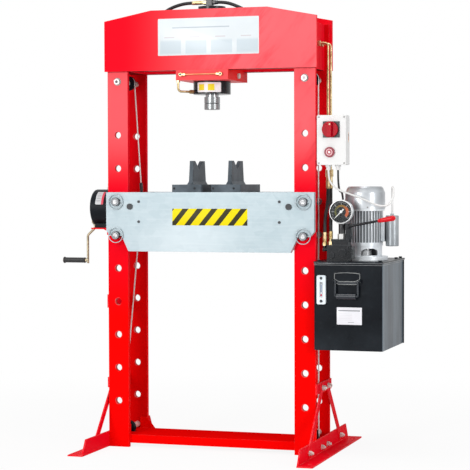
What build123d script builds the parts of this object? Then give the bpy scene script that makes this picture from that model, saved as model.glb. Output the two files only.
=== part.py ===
from build123d import *
import math
import os

# Floor press in mm: X across, -Y to the operator, Z up, origin on the floor at the centre of the uprights.

# uprights
row_pitch = 150
row_count = 9
first_row = 210
hole_dia = 30
leg_spacing = 873
leg_width = 96
leg_thick = 20
frame_depth = 256
leg_top = 1900

# crown
crown_low = 1695
crown_height = 225
crown_peak = 43
crown_thick = 15
crown_overhang = 9
crown_slope = 222.5
rail_width = 38
rail_thick = 14
end_plate_inset = 30
end_plate_thick = 12

# head that slides along the crown
head_x = -30
head_width = 244
head_height = 45
head_travel_gap = 0.3
keeper_thick = 14
barrel_dia = 168
barrel_wall = 14
barrel_low = 1592
gland_height = 30
rod_dia = 60
piston_height = 40
stroke = 250
stroke_spare = 33
cap_height = 25
cap_dia = 124
cap_rise = 15
port_block = 28
port_lift = 20
port_back = 10
nose_dia = 71
nose_height = 57
rod_fit = 0.05

# bed
bed_thick = 24
bed_top = 1153
bed_height = 265
bed_low_inset = 10.5
side_gap = 0.3
pin_dia = 28
pin_fit = 0.3
pin_row = 5
pin_ring_wire = 4
tie_inset = 18.5
tie_drop = 64
tie_dia = 20
web_gap = 42
web_thick = 14

# vee blocks
vee_pitch = 182
vee_middle = -10
vee_base = (140, 300, 34)
vee_tower = (17, 190, 106)
vee_tower_top = 160
vee_flare = 8
vee_mouth = 108
vee_depth = 38

# pulleys and rope
pulley_dia = 66
pulley_width = 20
pulley_bore = 16
spacer_dia = 26
pulley_drop = 45
lower_pulley_z = 71
rope_dia = 6
rope_seat = 0.3

# floor frame
foot_leg = 70
foot_thick = 6
foot_half = 445
foot_slant = 45
beam_top = 55
beam_low = 17
beam_wall = 6
strut_width = 32
strut_thick = 5
strut_top = (47, 290)
strut_foot = (275, 35)
bolt_dia = 12

# winch
winch_z = 1081
winch_radius = 84
winch_gap = 10.5
winch_long = 100
shelf_top = 990
crank_drop = 63
crank_throw = 42
crank_bar = 11
crank_length = 180
grip_length = 106
grip_dia = 24

# power unit
tank_width = 304
tank_y = (-157, 278)
tank_z = (468, 845)
tank_wall = 4
lid_thick = 8
lid_lip = 5
motor_reach = 179.5
motor_y = 50
motor_dia = 150
fin_height = 4
motor_low = 917
motor_top = 1082
cowl_dia = 176
cowl_top = 1177
shaft_dia = 19
can_dia = 58
block_reach = (54, 148)
block_y = (-140, -70)
gauge_reach = 112.5
gauge_z = 1068
gauge_dia = 104
gauge_front = -128
lever_reach = 142.5
lever_z = 1004
lever_long = 215
lever_tilt = 10.5

# switch box
box_reach = (12.5, 141.5)
box_y = (-150, -84)
box_z = (1271, 1486)
knob_dia = 70
knob_reach = 73
knob_z = 1424
button_dia = 34
button_reach = 69.5
button_z = 1326
button_travel = 4

# pressure lines
tube_dia = 10
tube_reach = 25.5
tube_y = (-8, 42)
tube_top = 1808
tube_low = 1241
hose_dia = 15
cable_dia = 9
gland_long = 8
hose_nut = 14
hose_ferrule = 44
bulkhead_long = 24

leg_x = leg_spacing / 2
leg_out = leg_x + leg_width / 2
leg_in = leg_x - leg_width / 2
crown_side = crown_low + crown_height
crown_top = crown_side + crown_peak
upper_pulley_z = crown_low - pulley_drop
face = frame_depth / 2
inner_face = face - leg_thick
crown_face = face + crown_thick
lower_pin_z = first_row + pin_row * row_pitch
upper_pin_z = lower_pin_z + row_pitch
tie_z = bed_top - tie_drop
tie_x = leg_in - tie_inset
web_x = tie_x - web_gap
bed_low = bed_top - bed_height
bed_half = leg_out
bed_low_half = leg_in - bed_low_inset
winch_near = leg_out + winch_gap
winch_far = winch_near + winch_long
motor_x = leg_out + motor_reach
gauge_x = leg_out + gauge_reach
lever_pivot = (leg_out + lever_reach, lever_z)
block_x = (leg_out + block_reach[0], leg_out + block_reach[1])
box_x = (leg_out + box_reach[0], leg_out + box_reach[1])
knob_at = (leg_out + knob_reach, knob_z)
button_at = (leg_out + button_reach, button_z)
tube_x = leg_out + tube_reach
bed_in = face + side_gap
bed_out = bed_in + bed_thick
rope_reach = pulley_dia / 2 - rope_dia / 2
sides = (("left", -1), ("right", 1))

os.makedirs("parts", exist_ok=True)


def save(name, shape):
    export_step(shape, f"parts/{name}.step")


def block(x, y, z):
    """Box from its two limits along each axis."""
    size = (abs(x[1] - x[0]), abs(y[1] - y[0]), abs(z[1] - z[0]))
    middle = (sum(x) / 2, sum(y) / 2, sum(z) / 2)
    return Pos(*middle) * Box(*size)


def rod(start, end, dia):
    """Round bar between two points."""
    line = Vector(*end) - Vector(*start)
    place = Plane(origin=start, z_dir=line)
    return extrude(place * Circle(dia / 2), line.length)


def tube(start, end, dia, bore):
    return rod(start, end, dia) - rod(start, end, bore)


def sheet(outline, y0, y1):
    """Plate with an outline of (x, z) points between two depths."""
    place = Plane(origin=(0, y0, 0), x_dir=(1, 0, 0), z_dir=(0, -1, 0))
    return extrude(place * make_face(Polyline(*outline, close=True)), y0 - y1)


def side_sheet(outline, x0, x1):
    """Plate with an outline of (y, z) points between two widths."""
    place = Plane(origin=(x0, 0, 0), x_dir=(0, 1, 0), z_dir=(1, 0, 0))
    return extrude(place * make_face(Polyline(*outline, close=True)), x1 - x0)


def hexagon(centre, direction, across, height):
    place = Plane(origin=centre, z_dir=direction)
    return extrude(place * RegularPolygon(across / 2, 6, major_radius=False), height)


def bent(points, radius, dia):
    """Round bar or pipe along straight runs with one bend radius."""
    path = FilletPolyline(*points, radius=radius)
    start = Plane(origin=path @ 0, z_dir=path % 0)
    return sweep(start * Circle(dia / 2), path=path)


def route(start, leave, end, arrive, count):
    """Evenly spaced points on a smooth curve that leaves and arrives straight along its fittings."""
    a, b = Vector(*start), Vector(*end)
    p, q = a + Vector(*leave), b - Vector(*arrive)
    fine = []
    for i in range(401):
        t = i / 400
        s = 1 - t
        fine.append(a * s**3 + p * (3 * s * s * t) + q * (3 * s * t * t) + b * t**3)
    reach = [0]
    for one, two in zip(fine, fine[1:]):
        reach.append(reach[-1] + (two - one).length)
    step = reach[-1] / (count - 0.8)
    marks = [step * (k - 0.4) for k in range(1, count)]
    points = [a]
    for mark in marks:
        i = min(range(401), key=lambda n: abs(reach[n] - mark))
        points.append(fine[i])
    points[1] = a + Vector(*leave).normalized() * marks[0]
    points[-1] = b - Vector(*arrive).normalized() * marks[0]
    return points + [b]


def drop_bend(start, end, turns):
    """Points of a hose that drops to a fitting beside it, with equal runs and turns."""
    a, b = Vector(*start), Vector(*end)
    away = Vector(b.X - a.X, b.Y - a.Y, 0)
    fall = a.Z - b.Z
    steps = list(range(turns)) + list(range(turns - 2, -1, -1))
    low, high = 0, math.pi / turns
    for _ in range(50):
        angle = (low + high) / 2
        across = sum(math.sin(angle * k) for k in steps)
        down = sum(math.cos(angle * k) for k in steps)
        if across * fall < away.length * down:
            low = angle
        else:
            high = angle
    run = fall / down
    points = [a]
    for k in steps:
        way = away.normalized() * math.sin(angle * k) - Vector(0, 0, math.cos(angle * k))
        points.append(points[-1] + way * run)
    return points


def cord(name, points, dia):
    """Hose or cable: straight runs joined by arcs as large as the runs allow."""
    runs = [(b - a).length for a, b in zip(points, points[1:])]
    radii = []
    for i in range(1, len(points) - 1):
        turn = math.radians((points[i] - points[i - 1]).get_angle(points[i + 1] - points[i]))
        radii.append(0.45 * min(runs[i - 1], runs[i]) / math.tan(turn / 2))
    path = FilletPolyline(*points, radius=radii)
    start = Plane(origin=path @ 0, z_dir=path % 0)
    made = sweep(start * Circle(dia / 2), path=path)
    share = made.volume / (math.pi * dia**2 / 4 * path.length)
    print(name, "run", round(max(runs)), "least radius", round(min(radii)), "volume", round(share, 3))
    print(name, [tuple(round(v, 1) for v in p) for p in points])
    save(name, made)


# uprights: flat bars with one column of index holes
row_z = [first_row + k * row_pitch for k in range(row_count)]
for end, y0, y1 in (("front", -face, -inner_face), ("rear", inner_face, face)):
    for side, sign in sides:
        middle = sign * leg_x
        bar = block((middle - leg_width / 2, middle + leg_width / 2), (y0, y1), (0, leg_top))
        for z in row_z:
            bar -= rod((middle, y0 - 1, z), (middle, y1 + 1, z), hole_dia)
        bar -= rod((middle, y0 - 1, upper_pulley_z), (middle, y1 + 1, upper_pulley_z), pulley_bore)
        save(f"upright_{end}_{side}", bar)

# crown: two tapered plates, end plates and the rails that the head hangs on
crown_half = leg_out + crown_overhang
crown_flat = crown_half - crown_slope
crown_line = [
    (-crown_half, crown_low),
    (crown_half, crown_low),
    (crown_half, crown_side),
    (crown_flat, crown_top),
    (-crown_flat, crown_top),
    (-crown_half, crown_side),
]
save("crown_plate_front", sheet(crown_line, -crown_face, -face))
save("crown_plate_rear", sheet(crown_line, face, crown_face))
end_out = crown_half - end_plate_inset
end_in = end_out - end_plate_thick
rail_z = (crown_low, crown_low + rail_thick)
slot_half = face - rail_width
inner = Part()
for sign in (-1, 1):
    inner += block((-leg_in, leg_in), (sign * face, sign * slot_half), rail_z)
    plate = block((sign * end_in, sign * end_out), (-inner_face, inner_face), (rail_z[0], leg_top))
    for y in tube_y:
        plate -= rod((0, y, tube_top), (sign * crown_half, y, tube_top), tube_dia + 8)
    inner += plate
    inner += block((sign * leg_in, sign * end_in), (-inner_face, inner_face), rail_z)
save("crown_inner", inner)

# head carriage: block under the crown, neck between the rails, keeper above them
head_low = crown_low - head_height
head_lim = (head_x - head_width / 2, head_x + head_width / 2)
neck_half = slot_half - 2 * head_travel_gap
keeper_z = rail_z[1] + head_travel_gap
carriage = block(head_lim, (-crown_face, crown_face), (head_low, crown_low - head_travel_gap))
carriage += block(head_lim, (-neck_half, neck_half), (crown_low - head_travel_gap, keeper_z))
keeper_half = face - 12
carriage += block(head_lim, (-keeper_half, keeper_half), (keeper_z, keeper_z + keeper_thick))
barrel_top = barrel_low + gland_height + piston_height + stroke + stroke_spare + cap_height
axis_low = (head_x, 0, barrel_low)
axis_top = (head_x, 0, barrel_top)
carriage -= rod(axis_low, axis_top, barrel_dia)
carriage += hexagon((head_lim[1], 0, crown_low - head_height / 2), (1, 0, 0), 22, 9)
save("head_carriage", carriage)

# cylinder: open bore for the piston, gland at the foot, cap and port block on top
bore_dia = barrel_dia - 2 * barrel_wall
barrel = rod(axis_low, axis_top, barrel_dia)
barrel -= rod((head_x, 0, barrel_low + gland_height), (head_x, 0, barrel_top - cap_height), bore_dia)
barrel -= rod(axis_low, (head_x, 0, barrel_low + gland_height), rod_dia + 2 * rod_fit)
cap_top = barrel_top + cap_rise
barrel += rod(axis_top, (head_x, 0, cap_top), cap_dia)
port_x = head_x - port_back
port_z = cap_top + port_lift
port_lim = (port_x - port_block / 2, port_x + port_block / 2)
barrel += block(port_lim, (-port_block / 2, port_block / 2), (cap_top, port_z + port_block / 2))
lower_port_z = barrel_low + 9
line_at = Vector(head_lim[0] + 8, -crown_face + 8, lower_port_z)
port_way = (line_at - Vector(head_x, 0, lower_port_z)).normalized()
port_root = Vector(head_x, 0, lower_port_z) + port_way * (barrel_dia / 2 - 3)
port_end = port_root + port_way * 19
barrel += rod(port_root, port_end, 18)
save("cylinder", barrel)

# ram: piston, rod and grooved nose
nose_top = barrel_low - 12
nose_low = nose_top - nose_height
rod_top = barrel_top - cap_height - 15
ram = rod((head_x, 0, nose_top), (head_x, 0, rod_top - piston_height), rod_dia)
ram += rod((head_x, 0, rod_top - piston_height), (head_x, 0, rod_top), bore_dia - 2 * rod_fit)
save("ram_rod", ram)
nose_line = [
    (0, nose_low),
    (nose_dia / 2 - 2, nose_low),
    (nose_dia / 2, nose_low + 2),
    (nose_dia / 2, nose_low + nose_height * 0.45),
    (nose_dia / 2 - 2, nose_low + nose_height * 0.45 + 2),
    (nose_dia / 2, nose_low + nose_height * 0.45 + 4),
    (nose_dia / 2, nose_top),
    (0, nose_top),
]
nose = revolve(Plane.XZ * make_face(Polyline(*nose_line, close=True)), Axis.Z)
save("ram_nose", Pos(head_x, 0, 0) * nose)

# brass lines on the head: one along its front, one from under it to the lower port
front_y = -crown_face - 9
front_z = head_low + head_height * 0.55
left_x = head_lim[0] + 26
right_x = head_lim[1] - 32
lines = rod((left_x, front_y, front_z), (right_x, front_y, front_z), tube_dia - 3)
for x, way in ((left_x, 1), (right_x, -1)):
    lines += rod((x, -crown_face, front_z), (x, front_y - 8, front_z), 15)
    lines += hexagon((x + way * 7, front_y, front_z), (way, 0, 0), 12, 16)
lines += bent([(line_at.X, line_at.Y, head_low), tuple(line_at), tuple(port_end)], 16, tube_dia)
lines += hexagon(port_end, port_way, 17, 16)
lines += hexagon((line_at.X, line_at.Y, head_low), (0, 0, -1), 15, 10)
keeper_top = keeper_z + keeper_thick
elbow = (head_lim[0] + 16, 0, keeper_top + 14)
elbow_end = elbow[0] - 46
lines += block((elbow[0] - 10, elbow[0] + 10), (-10, 10), (keeper_top, keeper_top + 25))
lines += hexagon((elbow[0] - 10, 0, elbow[2]), (-1, 0, 0), 18, 12)
lines += rod((elbow[0] - 22, 0, elbow[2]), (elbow_end, 0, elbow[2]), hose_dia + 1)
hose_ends = []
for x, way, ferrule in ((port_lim[0], -1, 54), (port_lim[1], 1, 10)):
    nut_end = x + way * hose_nut
    lines += hexagon((x, 0, port_z), (way, 0, 0), 18, hose_nut)
    lines += rod((nut_end, 0, port_z), (nut_end + way * ferrule, 0, port_z), hose_dia + 1)
    hose_ends.append((nut_end + way * ferrule, 0, port_z))
save("head_lines", lines)

# bed: two side plates that rest on the lower pins in half-round notches
end_low = lower_pin_z
bed_line = []
for sign in (1, -1):
    half = [
        (sign * bed_low_half, bed_low),
        (sign * (leg_x - leg_width / 4), end_low),
        (sign * (leg_x + leg_width / 3), end_low),
        (sign * bed_half, end_low + 20),
        (sign * bed_half, bed_top),
    ]
    bed_line += half if sign > 0 else half[::-1]
web_z = (bed_low + 110, bed_top - 22)
for end, sign in (("front", -1), ("rear", 1)):
    y0, y1 = sorted((sign * bed_in, sign * bed_out))
    plate = sheet(bed_line, y0, y1)
    for x in (-leg_x, leg_x):
        for z in (lower_pin_z, upper_pin_z):
            plate -= rod((x, y0 - 1, z), (x, y1 + 1, z), pin_dia + 2 * pin_fit)
    for x in (-tie_x, tie_x):
        plate -= rod((x, y0 - 1, tie_z), (x, y1 + 1, tie_z), tie_dia)
    save(f"bed_plate_{end}", plate)

# cross webs and tie rods that join the bed plates between the uprights
ties = Part()
for x in (-tie_x, tie_x):
    ties += rod((x, -bed_out - 3, tie_z), (x, bed_out + 3, tie_z), tie_dia)
    for end in (-1, 1):
        ties += rod((x, end * bed_out, tie_z), (x, end * (bed_out + 7), tie_z), tie_dia + 7)
for sign in (-1, 1):
    web_out = sign * (web_x + web_thick / 2)
    web_near = sign * (web_x - web_thick / 2)
    ties += block((web_near, web_out), (-bed_in, bed_in), web_z)
    for z in (tie_z + 22, tie_z - 68):
        for end in (-1, 1):
            ties += rod((sign * web_x, end * bed_out, z), (sign * web_x, end * (bed_out + 3), z), 12)

# lock pins with a pull ring through the head
head_long = 14
for row, z in (("upper", upper_pin_z), ("lower", lower_pin_z)):
    for side, sign in sides:
        x = sign * leg_x
        neck = -bed_out - side_gap
        ring_y = neck - head_long / 2
        pin = rod((x, neck, z), (x, bed_out + 4, z), pin_dia)
        pin += loft([Plane(origin=(x, bed_out + 4, z), z_dir=(0, 1, 0)) * Circle(pin_dia / 2),
                     Plane(origin=(x, bed_out + 12, z), z_dir=(0, 1, 0)) * Circle(pin_dia / 3)])
        pin += rod((x, neck, z), (x, neck - head_long, z), pin_dia + 10)
        ring_mid = (pin_dia + 38) / 2
        pin += Pos(x, ring_y, z) * Rot(90, 0, 0) * Torus(ring_mid, pin_ring_wire / 2)
        pin += rod((x - ring_mid, ring_y, z), (x + ring_mid, ring_y, z), pin_ring_wire)
        save(f"pin_{row}_{side}", pin)

# vee blocks standing on the bed
base_x, base_y, base_z = vee_base
tower_x, tower_y, tower_z = vee_tower
vee_top = bed_top + base_z + tower_z
for side, sign in sides:
    x = vee_middle + sign * vee_pitch / 2
    foot = block((x - base_x / 2, x + base_x / 2), (-base_y / 2, base_y / 2), (bed_top, bed_top + base_z))
    foot = fillet(foot.edges().filter_by(Axis.Z), 6)
    seat = bed_top + base_z
    tower_line = [
        (-tower_y / 2 - vee_flare, seat),
        (tower_y / 2 + vee_flare, seat),
        (tower_y / 2, seat + vee_flare),
        (vee_tower_top / 2, vee_top),
        (vee_mouth / 2, vee_top),
        (0, vee_top - vee_depth),
        (-vee_mouth / 2, vee_top),
        (-vee_tower_top / 2, vee_top),
        (-tower_y / 2, seat + vee_flare),
    ]
    tower = side_sheet(tower_line, x - tower_x / 2, x + tower_x / 2)
    rib_line = [
        (x - tower_x, seat),
        (x + tower_x, seat),
        (x + tower_x / 2, seat + 14),
        (x - tower_x / 2, seat + 14),
    ]
    save(f"vee_block_{side}", foot + tower + sheet(rib_line, -tower_y / 2, tower_y / 2))

# pulleys on axles between the front and rear uprights
lift_y = 8
tie_y = -8
pulleys = (
    ("upper_left", -leg_x, upper_pulley_z, lift_y),
    ("upper_right", leg_x, upper_pulley_z, tie_y),
    ("lower_left", -leg_x, lower_pulley_z, tie_y),
    ("lower_right", leg_x, lower_pulley_z, tie_y),
)
groove = rope_reach - rope_dia / 2 - rope_seat
half = pulley_width / 2
wheel_line = [
    (pulley_bore / 2 + rod_fit, -half),
    (pulley_dia / 2, -half),
    (pulley_dia / 2, -half + 1.5),
    (groove, -rope_dia / 2 - rope_seat),
    (groove, rope_dia / 2 + rope_seat),
    (pulley_dia / 2, half - 1.5),
    (pulley_dia / 2, half),
    (pulley_bore / 2 + rod_fit, half),
]
wheel = revolve(Plane.XZ * make_face(Polyline(*wheel_line, close=True)), Axis.Z)
axles = Part()
for name, x, z, y in pulleys:
    save(f"pulley_{name}", Pos(x, y, z) * Rot(90, 0, 0) * wheel)
    bolted = name.startswith("upper")
    axle_half = face if bolted else inner_face
    axles += rod((x, -axle_half, z), (x, axle_half, z), pulley_bore)
    for end in (-1, 1):
        axles += tube((x, end * inner_face, z), (x, y + end * (half + side_gap), z), spacer_dia, pulley_bore)
        if bolted:
            axles += rod((x, end * face, z), (x, end * (face + 3), z), 34)
            axles += hexagon((x, end * (face + 3), z), (0, end, 0), 24, 10)


def touch(point, centre, radius, turn):
    """Point where a straight rope from a point meets a pulley, and its angle there."""
    ax, az = point[0] - centre[0], point[1] - centre[1]
    angle = math.atan2(az, ax) + turn * math.acos(radius / math.hypot(ax, az))
    return angle, (centre[0] + radius * math.cos(angle), centre[1] + radius * math.sin(angle))


def on_wheel(centre, radius, angle, y):
    return (centre[0] + radius * math.cos(angle), y, centre[1] + radius * math.sin(angle))


def rope(path):
    start = Plane(origin=path @ 0, z_dir=path % 0)
    return sweep(start * Circle(rope_dia / 2), path=path)


# lifting rope: winch, over the upper left pulley, down to the bed
top_left = (-leg_x, upper_pulley_z)
winch_exit = (-(winch_near + winch_far) / 2, winch_z + winch_radius - 28)
up_angle, up_at = touch(winch_exit, top_left, rope_reach, -1)
anchor_left = (-tie_x, tie_z)
anchor_right = (tie_x, tie_z)
down_angle, down_at = touch(anchor_left, top_left, rope_reach, 1)
start = (winch_exit[0], lift_y, winch_exit[1])
over = Line(start, (up_at[0], lift_y, up_at[1])) + ThreePointArc(
    (up_at[0], lift_y, up_at[1]),
    on_wheel(top_left, rope_reach, (up_angle + 2 * math.pi + down_angle) / 2, lift_y),
    (down_at[0], lift_y, down_at[1]),
)
runs = rope(over)

# balance rope: bed left, under both lower pulleys, over the upper right one, down to the bed
low_left = (-leg_x, lower_pulley_z)
low_right = (leg_x, lower_pulley_z)
top_right = (leg_x, upper_pulley_z)
rise_angle, rise_at = touch(anchor_left, low_left, rope_reach, 1)
fall_angle, fall_at = touch(anchor_right, top_right, rope_reach, -1)
fall_angle += 2 * math.pi
under_left = on_wheel(low_left, rope_reach, -math.pi / 2, tie_y)
under_right = on_wheel(low_right, rope_reach, -math.pi / 2, tie_y)
side_low = on_wheel(low_right, rope_reach, 0, tie_y)
side_top = on_wheel(top_right, rope_reach, 0, tie_y)
rise_mid = on_wheel(low_left, rope_reach, (rise_angle + 1.5 * math.pi) / 2, tie_y)
right_mid = on_wheel(low_right, rope_reach, -math.pi / 4, tie_y)
fall_mid = on_wheel(top_right, rope_reach, fall_angle / 2, tie_y)
balance = (
    ThreePointArc((rise_at[0], tie_y, rise_at[1]), rise_mid, under_left)
    + Line(under_left, under_right)
    + ThreePointArc(under_right, right_mid, side_low)
    + Line(side_low, side_top)
    + ThreePointArc(side_top, fall_mid, (fall_at[0], tie_y, fall_at[1]))
)
runs += rope(balance)
save("rope_runs", runs)

# straight rope stretches that change length with the bed, and their ends on the tie rods
drops = Part()
eye = tie_dia + 2 * rope_seat
stretches = (
    (anchor_left, down_at, lift_y),
    (anchor_left, rise_at, tie_y),
    (anchor_right, fall_at, tie_y),
)
for anchor, there, y in stretches:
    foot = Vector(anchor[0], y, anchor[1])
    goal = Vector(there[0], y, there[1])
    way = (goal - foot).normalized()
    ties += tube((foot.X, y - 6, foot.Z), (foot.X, y + 6, foot.Z), eye + 16, eye)
    ties += rod(foot + way * (eye / 2 + 6), foot + way * 66, 10)
    ties += rod(foot + way * 66, foot + way * 106, 15)
    drops += rod(foot + way * 106, goal, rope_dia)
save("rope_drops", drops)
save("bed_ties", ties)

# floor beam between the uprights with slots for the lower pulleys, and corner gussets
beam = block((-leg_out, leg_out), (-inner_face, inner_face), (beam_low, beam_top))
cave = (-inner_face + beam_wall, inner_face - beam_wall)
beam -= block((-leg_out + beam_wall, leg_out - beam_wall), cave, (beam_low, beam_top - beam_wall))
for sign in (-1, 1):
    middle = sign * leg_x
    slot_y = (tie_y - pulley_width / 2 - 4, tie_y + pulley_width / 2 + 4)
    beam -= block((middle - pulley_dia / 2 - 5, middle + pulley_dia / 2 + 5), slot_y, (beam_low, beam_top))
    gusset_end = sign * (leg_x - spacer_dia / 2 - 2)
    gusset_line = [
        (sign * (leg_in - 40), beam_top),
        (gusset_end, beam_top),
        (gusset_end, beam_top + 50),
        (sign * leg_in, beam_top + 50),
    ]
    beam += sheet(gusset_line, inner_face - beam_wall, inner_face)
save("floor_beam", beam)


def nut_end(x, y, z, sign):
    """Washer, nut and end of thread that stand out along X."""
    made = rod((x, y, z), (x + sign * 2, y, z), 2 * bolt_dia)
    made += hexagon((x + sign * 2, y, z), (sign, 0, 0), 19, 10)
    return made + rod((x + sign * 12, y, z), (x + sign * 19, y, z), bolt_dia)


# feet: angles along Y, braced to the uprights
bolts = Part()
braces = Part()
for side, sign in sides:
    near = leg_out + foot_thick
    foot_line = [
        (-foot_half, 0),
        (foot_half, 0),
        (foot_half - foot_slant, foot_leg),
        (foot_slant - foot_half, foot_leg),
    ]
    foot = side_sheet(foot_line, *sorted((sign * leg_out, sign * near)))
    flat = block((sign * leg_out, sign * (leg_out + foot_leg)), (-foot_half, foot_half), (0, foot_thick))
    for y in (-foot_half + 60, foot_half - 60):
        x = sign * (leg_out + foot_leg * 0.62)
        flat -= rod((x, y, -1), (x, y, foot_thick + 1), bolt_dia + 2)
    save(f"foot_{side}", foot + flat)
    braces += block((sign * leg_out, sign * near), (-face, face), (strut_top[1] - 22, strut_top[1] + 24))
    for end in (-1, 1):
        top = Vector(0, end * strut_top[0], strut_top[1])
        low = Vector(0, end * strut_foot[0], strut_foot[1])
        way = (low - top).normalized()
        cross = Vector(0, -way.Z, way.Y) * (strut_width / 2)
        high_end = top - way * 12
        low_end = low + way * 12
        corners = [high_end + cross, low_end + cross, low_end - cross, high_end - cross]
        lim = sorted((sign * near, sign * (near + strut_thick)))
        braces += side_sheet([(c.Y, c.Z) for c in corners], *lim)
        for y, z in ((top.Y, top.Z), (low.Y, low.Z)):
            bolts += nut_end(sign * (near + strut_thick), y, z, sign)
        bolts += nut_end(sign * near, end * 50, 28, sign)
tie_row = first_row + 3 * row_pitch
braces += block((-leg_out, -leg_out - foot_thick), (-face, face), (tie_row - 30, tie_row + 30))
save("foot_braces", braces)
save("frame_bolts", bolts + axles)

# winch: shelf on the left uprights, closed case and crank
shelf = block((-leg_out, -leg_out - foot_thick), (-face, face), (shelf_top - 30, winch_z + 60))
shelf += block((-leg_out - foot_thick, -winch_far + 3), (-70, 70), (shelf_top - 6, shelf_top))
gusset_line = [
    (-leg_out - foot_thick, shelf_top - 6),
    (-leg_out - foot_thick - 44, shelf_top - 6),
    (-leg_out - foot_thick, shelf_top - 30),
]
shelf += sheet(gusset_line, 0, 6) + sheet(gusset_line, -62, -56) + sheet(gusset_line, 56, 62)
save("winch_shelf", shelf)
crank_z = winch_z - crank_drop
case = rod((-winch_near, 0, winch_z), (-winch_far, 0, winch_z), 2 * winch_radius)
case = fillet(case.edges().filter_by(GeomType.CIRCLE).sort_by(Axis.X)[0], 8)
case += block((-winch_near - 6, -winch_far + 12), (-48, 48), (shelf_top, winch_z - winch_radius + 12))
case -= rod((-winch_near - 4, 0, winch_z), (-winch_far + 26, 0, winch_z), 2 * winch_radius - 10)
exit_x = winch_exit[0]
case -= block((exit_x - 12, exit_x + 20), (lift_y - 12, lift_y + 12), (winch_z, winch_z + winch_radius + 2))
case -= rod((-winch_far, 0, crank_z), (-winch_far + 24, 0, crank_z), 16 + 2 * rod_fit)
save("winch_case", case)
boss_x = -winch_far - side_gap
arm_x = boss_x - crank_throw
grip_near = arm_x - crank_bar - 2
grip_far = grip_near - grip_length
grip_z = crank_z - crank_length
crank = rod((-winch_far + 23, 0, crank_z), (boss_x - 20, 0, crank_z), 16)
crank += rod((boss_x, 0, crank_z), (boss_x - 14, 0, crank_z), 30)
crank += bent([(boss_x - 7, 0, crank_z), (boss_x - 7, 0, crank_z - 32), (arm_x, 0, crank_z - 64),
               (arm_x, 0, grip_z - 14)], 18, crank_bar)
crank += rod((arm_x, 0, grip_z), (grip_far - side_gap, 0, grip_z), 10)
crank += rod((arm_x, 0, grip_z), (grip_near + side_gap, 0, grip_z), 16)
crank += rod((grip_far - side_gap, 0, grip_z), (grip_far - side_gap - 3, 0, grip_z), 18)
save("winch_crank", crank)
grip_line = [
    (5 + rod_fit, 0),
    (grip_dia / 2, 0),
    (grip_dia / 2 + 1, 3),
    (grip_dia / 2, 6),
    (grip_dia / 2, grip_length - 8),
    (grip_dia / 2 + 2.5, grip_length - 5),
    (grip_dia / 2 + 2.5, grip_length),
    (5 + rod_fit, grip_length),
]
grip = revolve(Plane.XZ * make_face(Polyline(*grip_line, close=True)), Axis.Z)
save("winch_grip", Pos(grip_near, 0, grip_z) * Rot(0, -90, 0) * grip)

# tank: open box under a lid, with sight gauge and drop handle
tank_x = (leg_out, leg_out + tank_width)
tank_in_x = (tank_x[0] + tank_wall, tank_x[1] - tank_wall)
tank_in_y = (tank_y[0] + tank_wall, tank_y[1] - tank_wall)
tank = block(tank_x, tank_y, tank_z)
tank = fillet(tank.edges().filter_by(Axis.Z), 8)
tank -= block(tank_in_x, tank_in_y, (tank_z[0] + tank_wall, tank_z[1]))
lid_top = tank_z[1] + lid_thick
lid = block((tank_x[0], tank_x[1] + lid_lip), (tank_y[0] - lid_lip, tank_y[1] + lid_lip), (tank_z[1], lid_top))
for x in (tank_x[0] + 20, tank_x[1] - 12):
    for y in (tank_y[0] + 10, tank_y[1] - 102, tank_y[1] - 12):
        lid += hexagon((x, y, lid_top), (0, 0, 1), 13, 7)
breather = (tank_x[0] + 90, tank_y[1] - 60)
lid += rod((*breather, lid_top), (*breather, lid_top + 22), 22)
lid += rod((*breather, lid_top + 22), (*breather, lid_top + 52), 46)
save("tank_lid", lid)
sight_x = tank_x[0] + 36
sight_z = (tank_z[0] + 200, tank_z[0] + 326)
sight = block((sight_x - 20, sight_x + 20), (tank_y[0] - 14, tank_y[0]), sight_z)
sight = fillet(sight.edges().filter_by(Axis.Y), 8)
sight -= block((sight_x - 6, sight_x + 6), (tank_y[0] - 15, tank_y[0] - 6), (sight_z[0] + 30, sight_z[1] - 30))
save("sight_gauge", sight)
bail_z = tank_z[1] - 75
bail_x = (tank_x[0] + 98.5, tank_x[0] + 198.5)
bail_wire = 10
bail_sleeve = 26
bail_y = tank_y[0] - 14
tank += block((bail_x[0] - 8, bail_x[1] + 8), (tank_y[0], tank_y[0] - 4), (bail_z - 20, bail_z + 38))
for x, way in ((bail_x[0], -1), (bail_x[1], 1)):
    ear = block((x + way * 6, x + way * 11), (tank_y[0], bail_y - 8), (bail_z - 8, bail_z + 8))
    tank += ear - rod((x, bail_y, bail_z), (x + way * 12, bail_y, bail_z), bail_wire + 2 * side_gap)
tank += block((tank_x[1] - 2, tank_x[1] + lid_lip), (tank_y[1] - 15, tank_y[1] - 9), tank_z)
save("tank", tank)
bail_low = bail_z - 66
bail = bent(
    [(bail_x[0] - 11, bail_y, bail_z), (bail_x[0], bail_y, bail_z), (bail_x[0], bail_y, bail_low),
     (bail_x[1], bail_y, bail_low), (bail_x[1], bail_y, bail_z), (bail_x[1] + 11, bail_y, bail_z)], 5.6, bail_wire)
bail += rod((bail_x[0] + 8, bail_y, bail_low), (bail_x[1] - 8, bail_y, bail_low), bail_sleeve)
save("tank_handle", bail)

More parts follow.
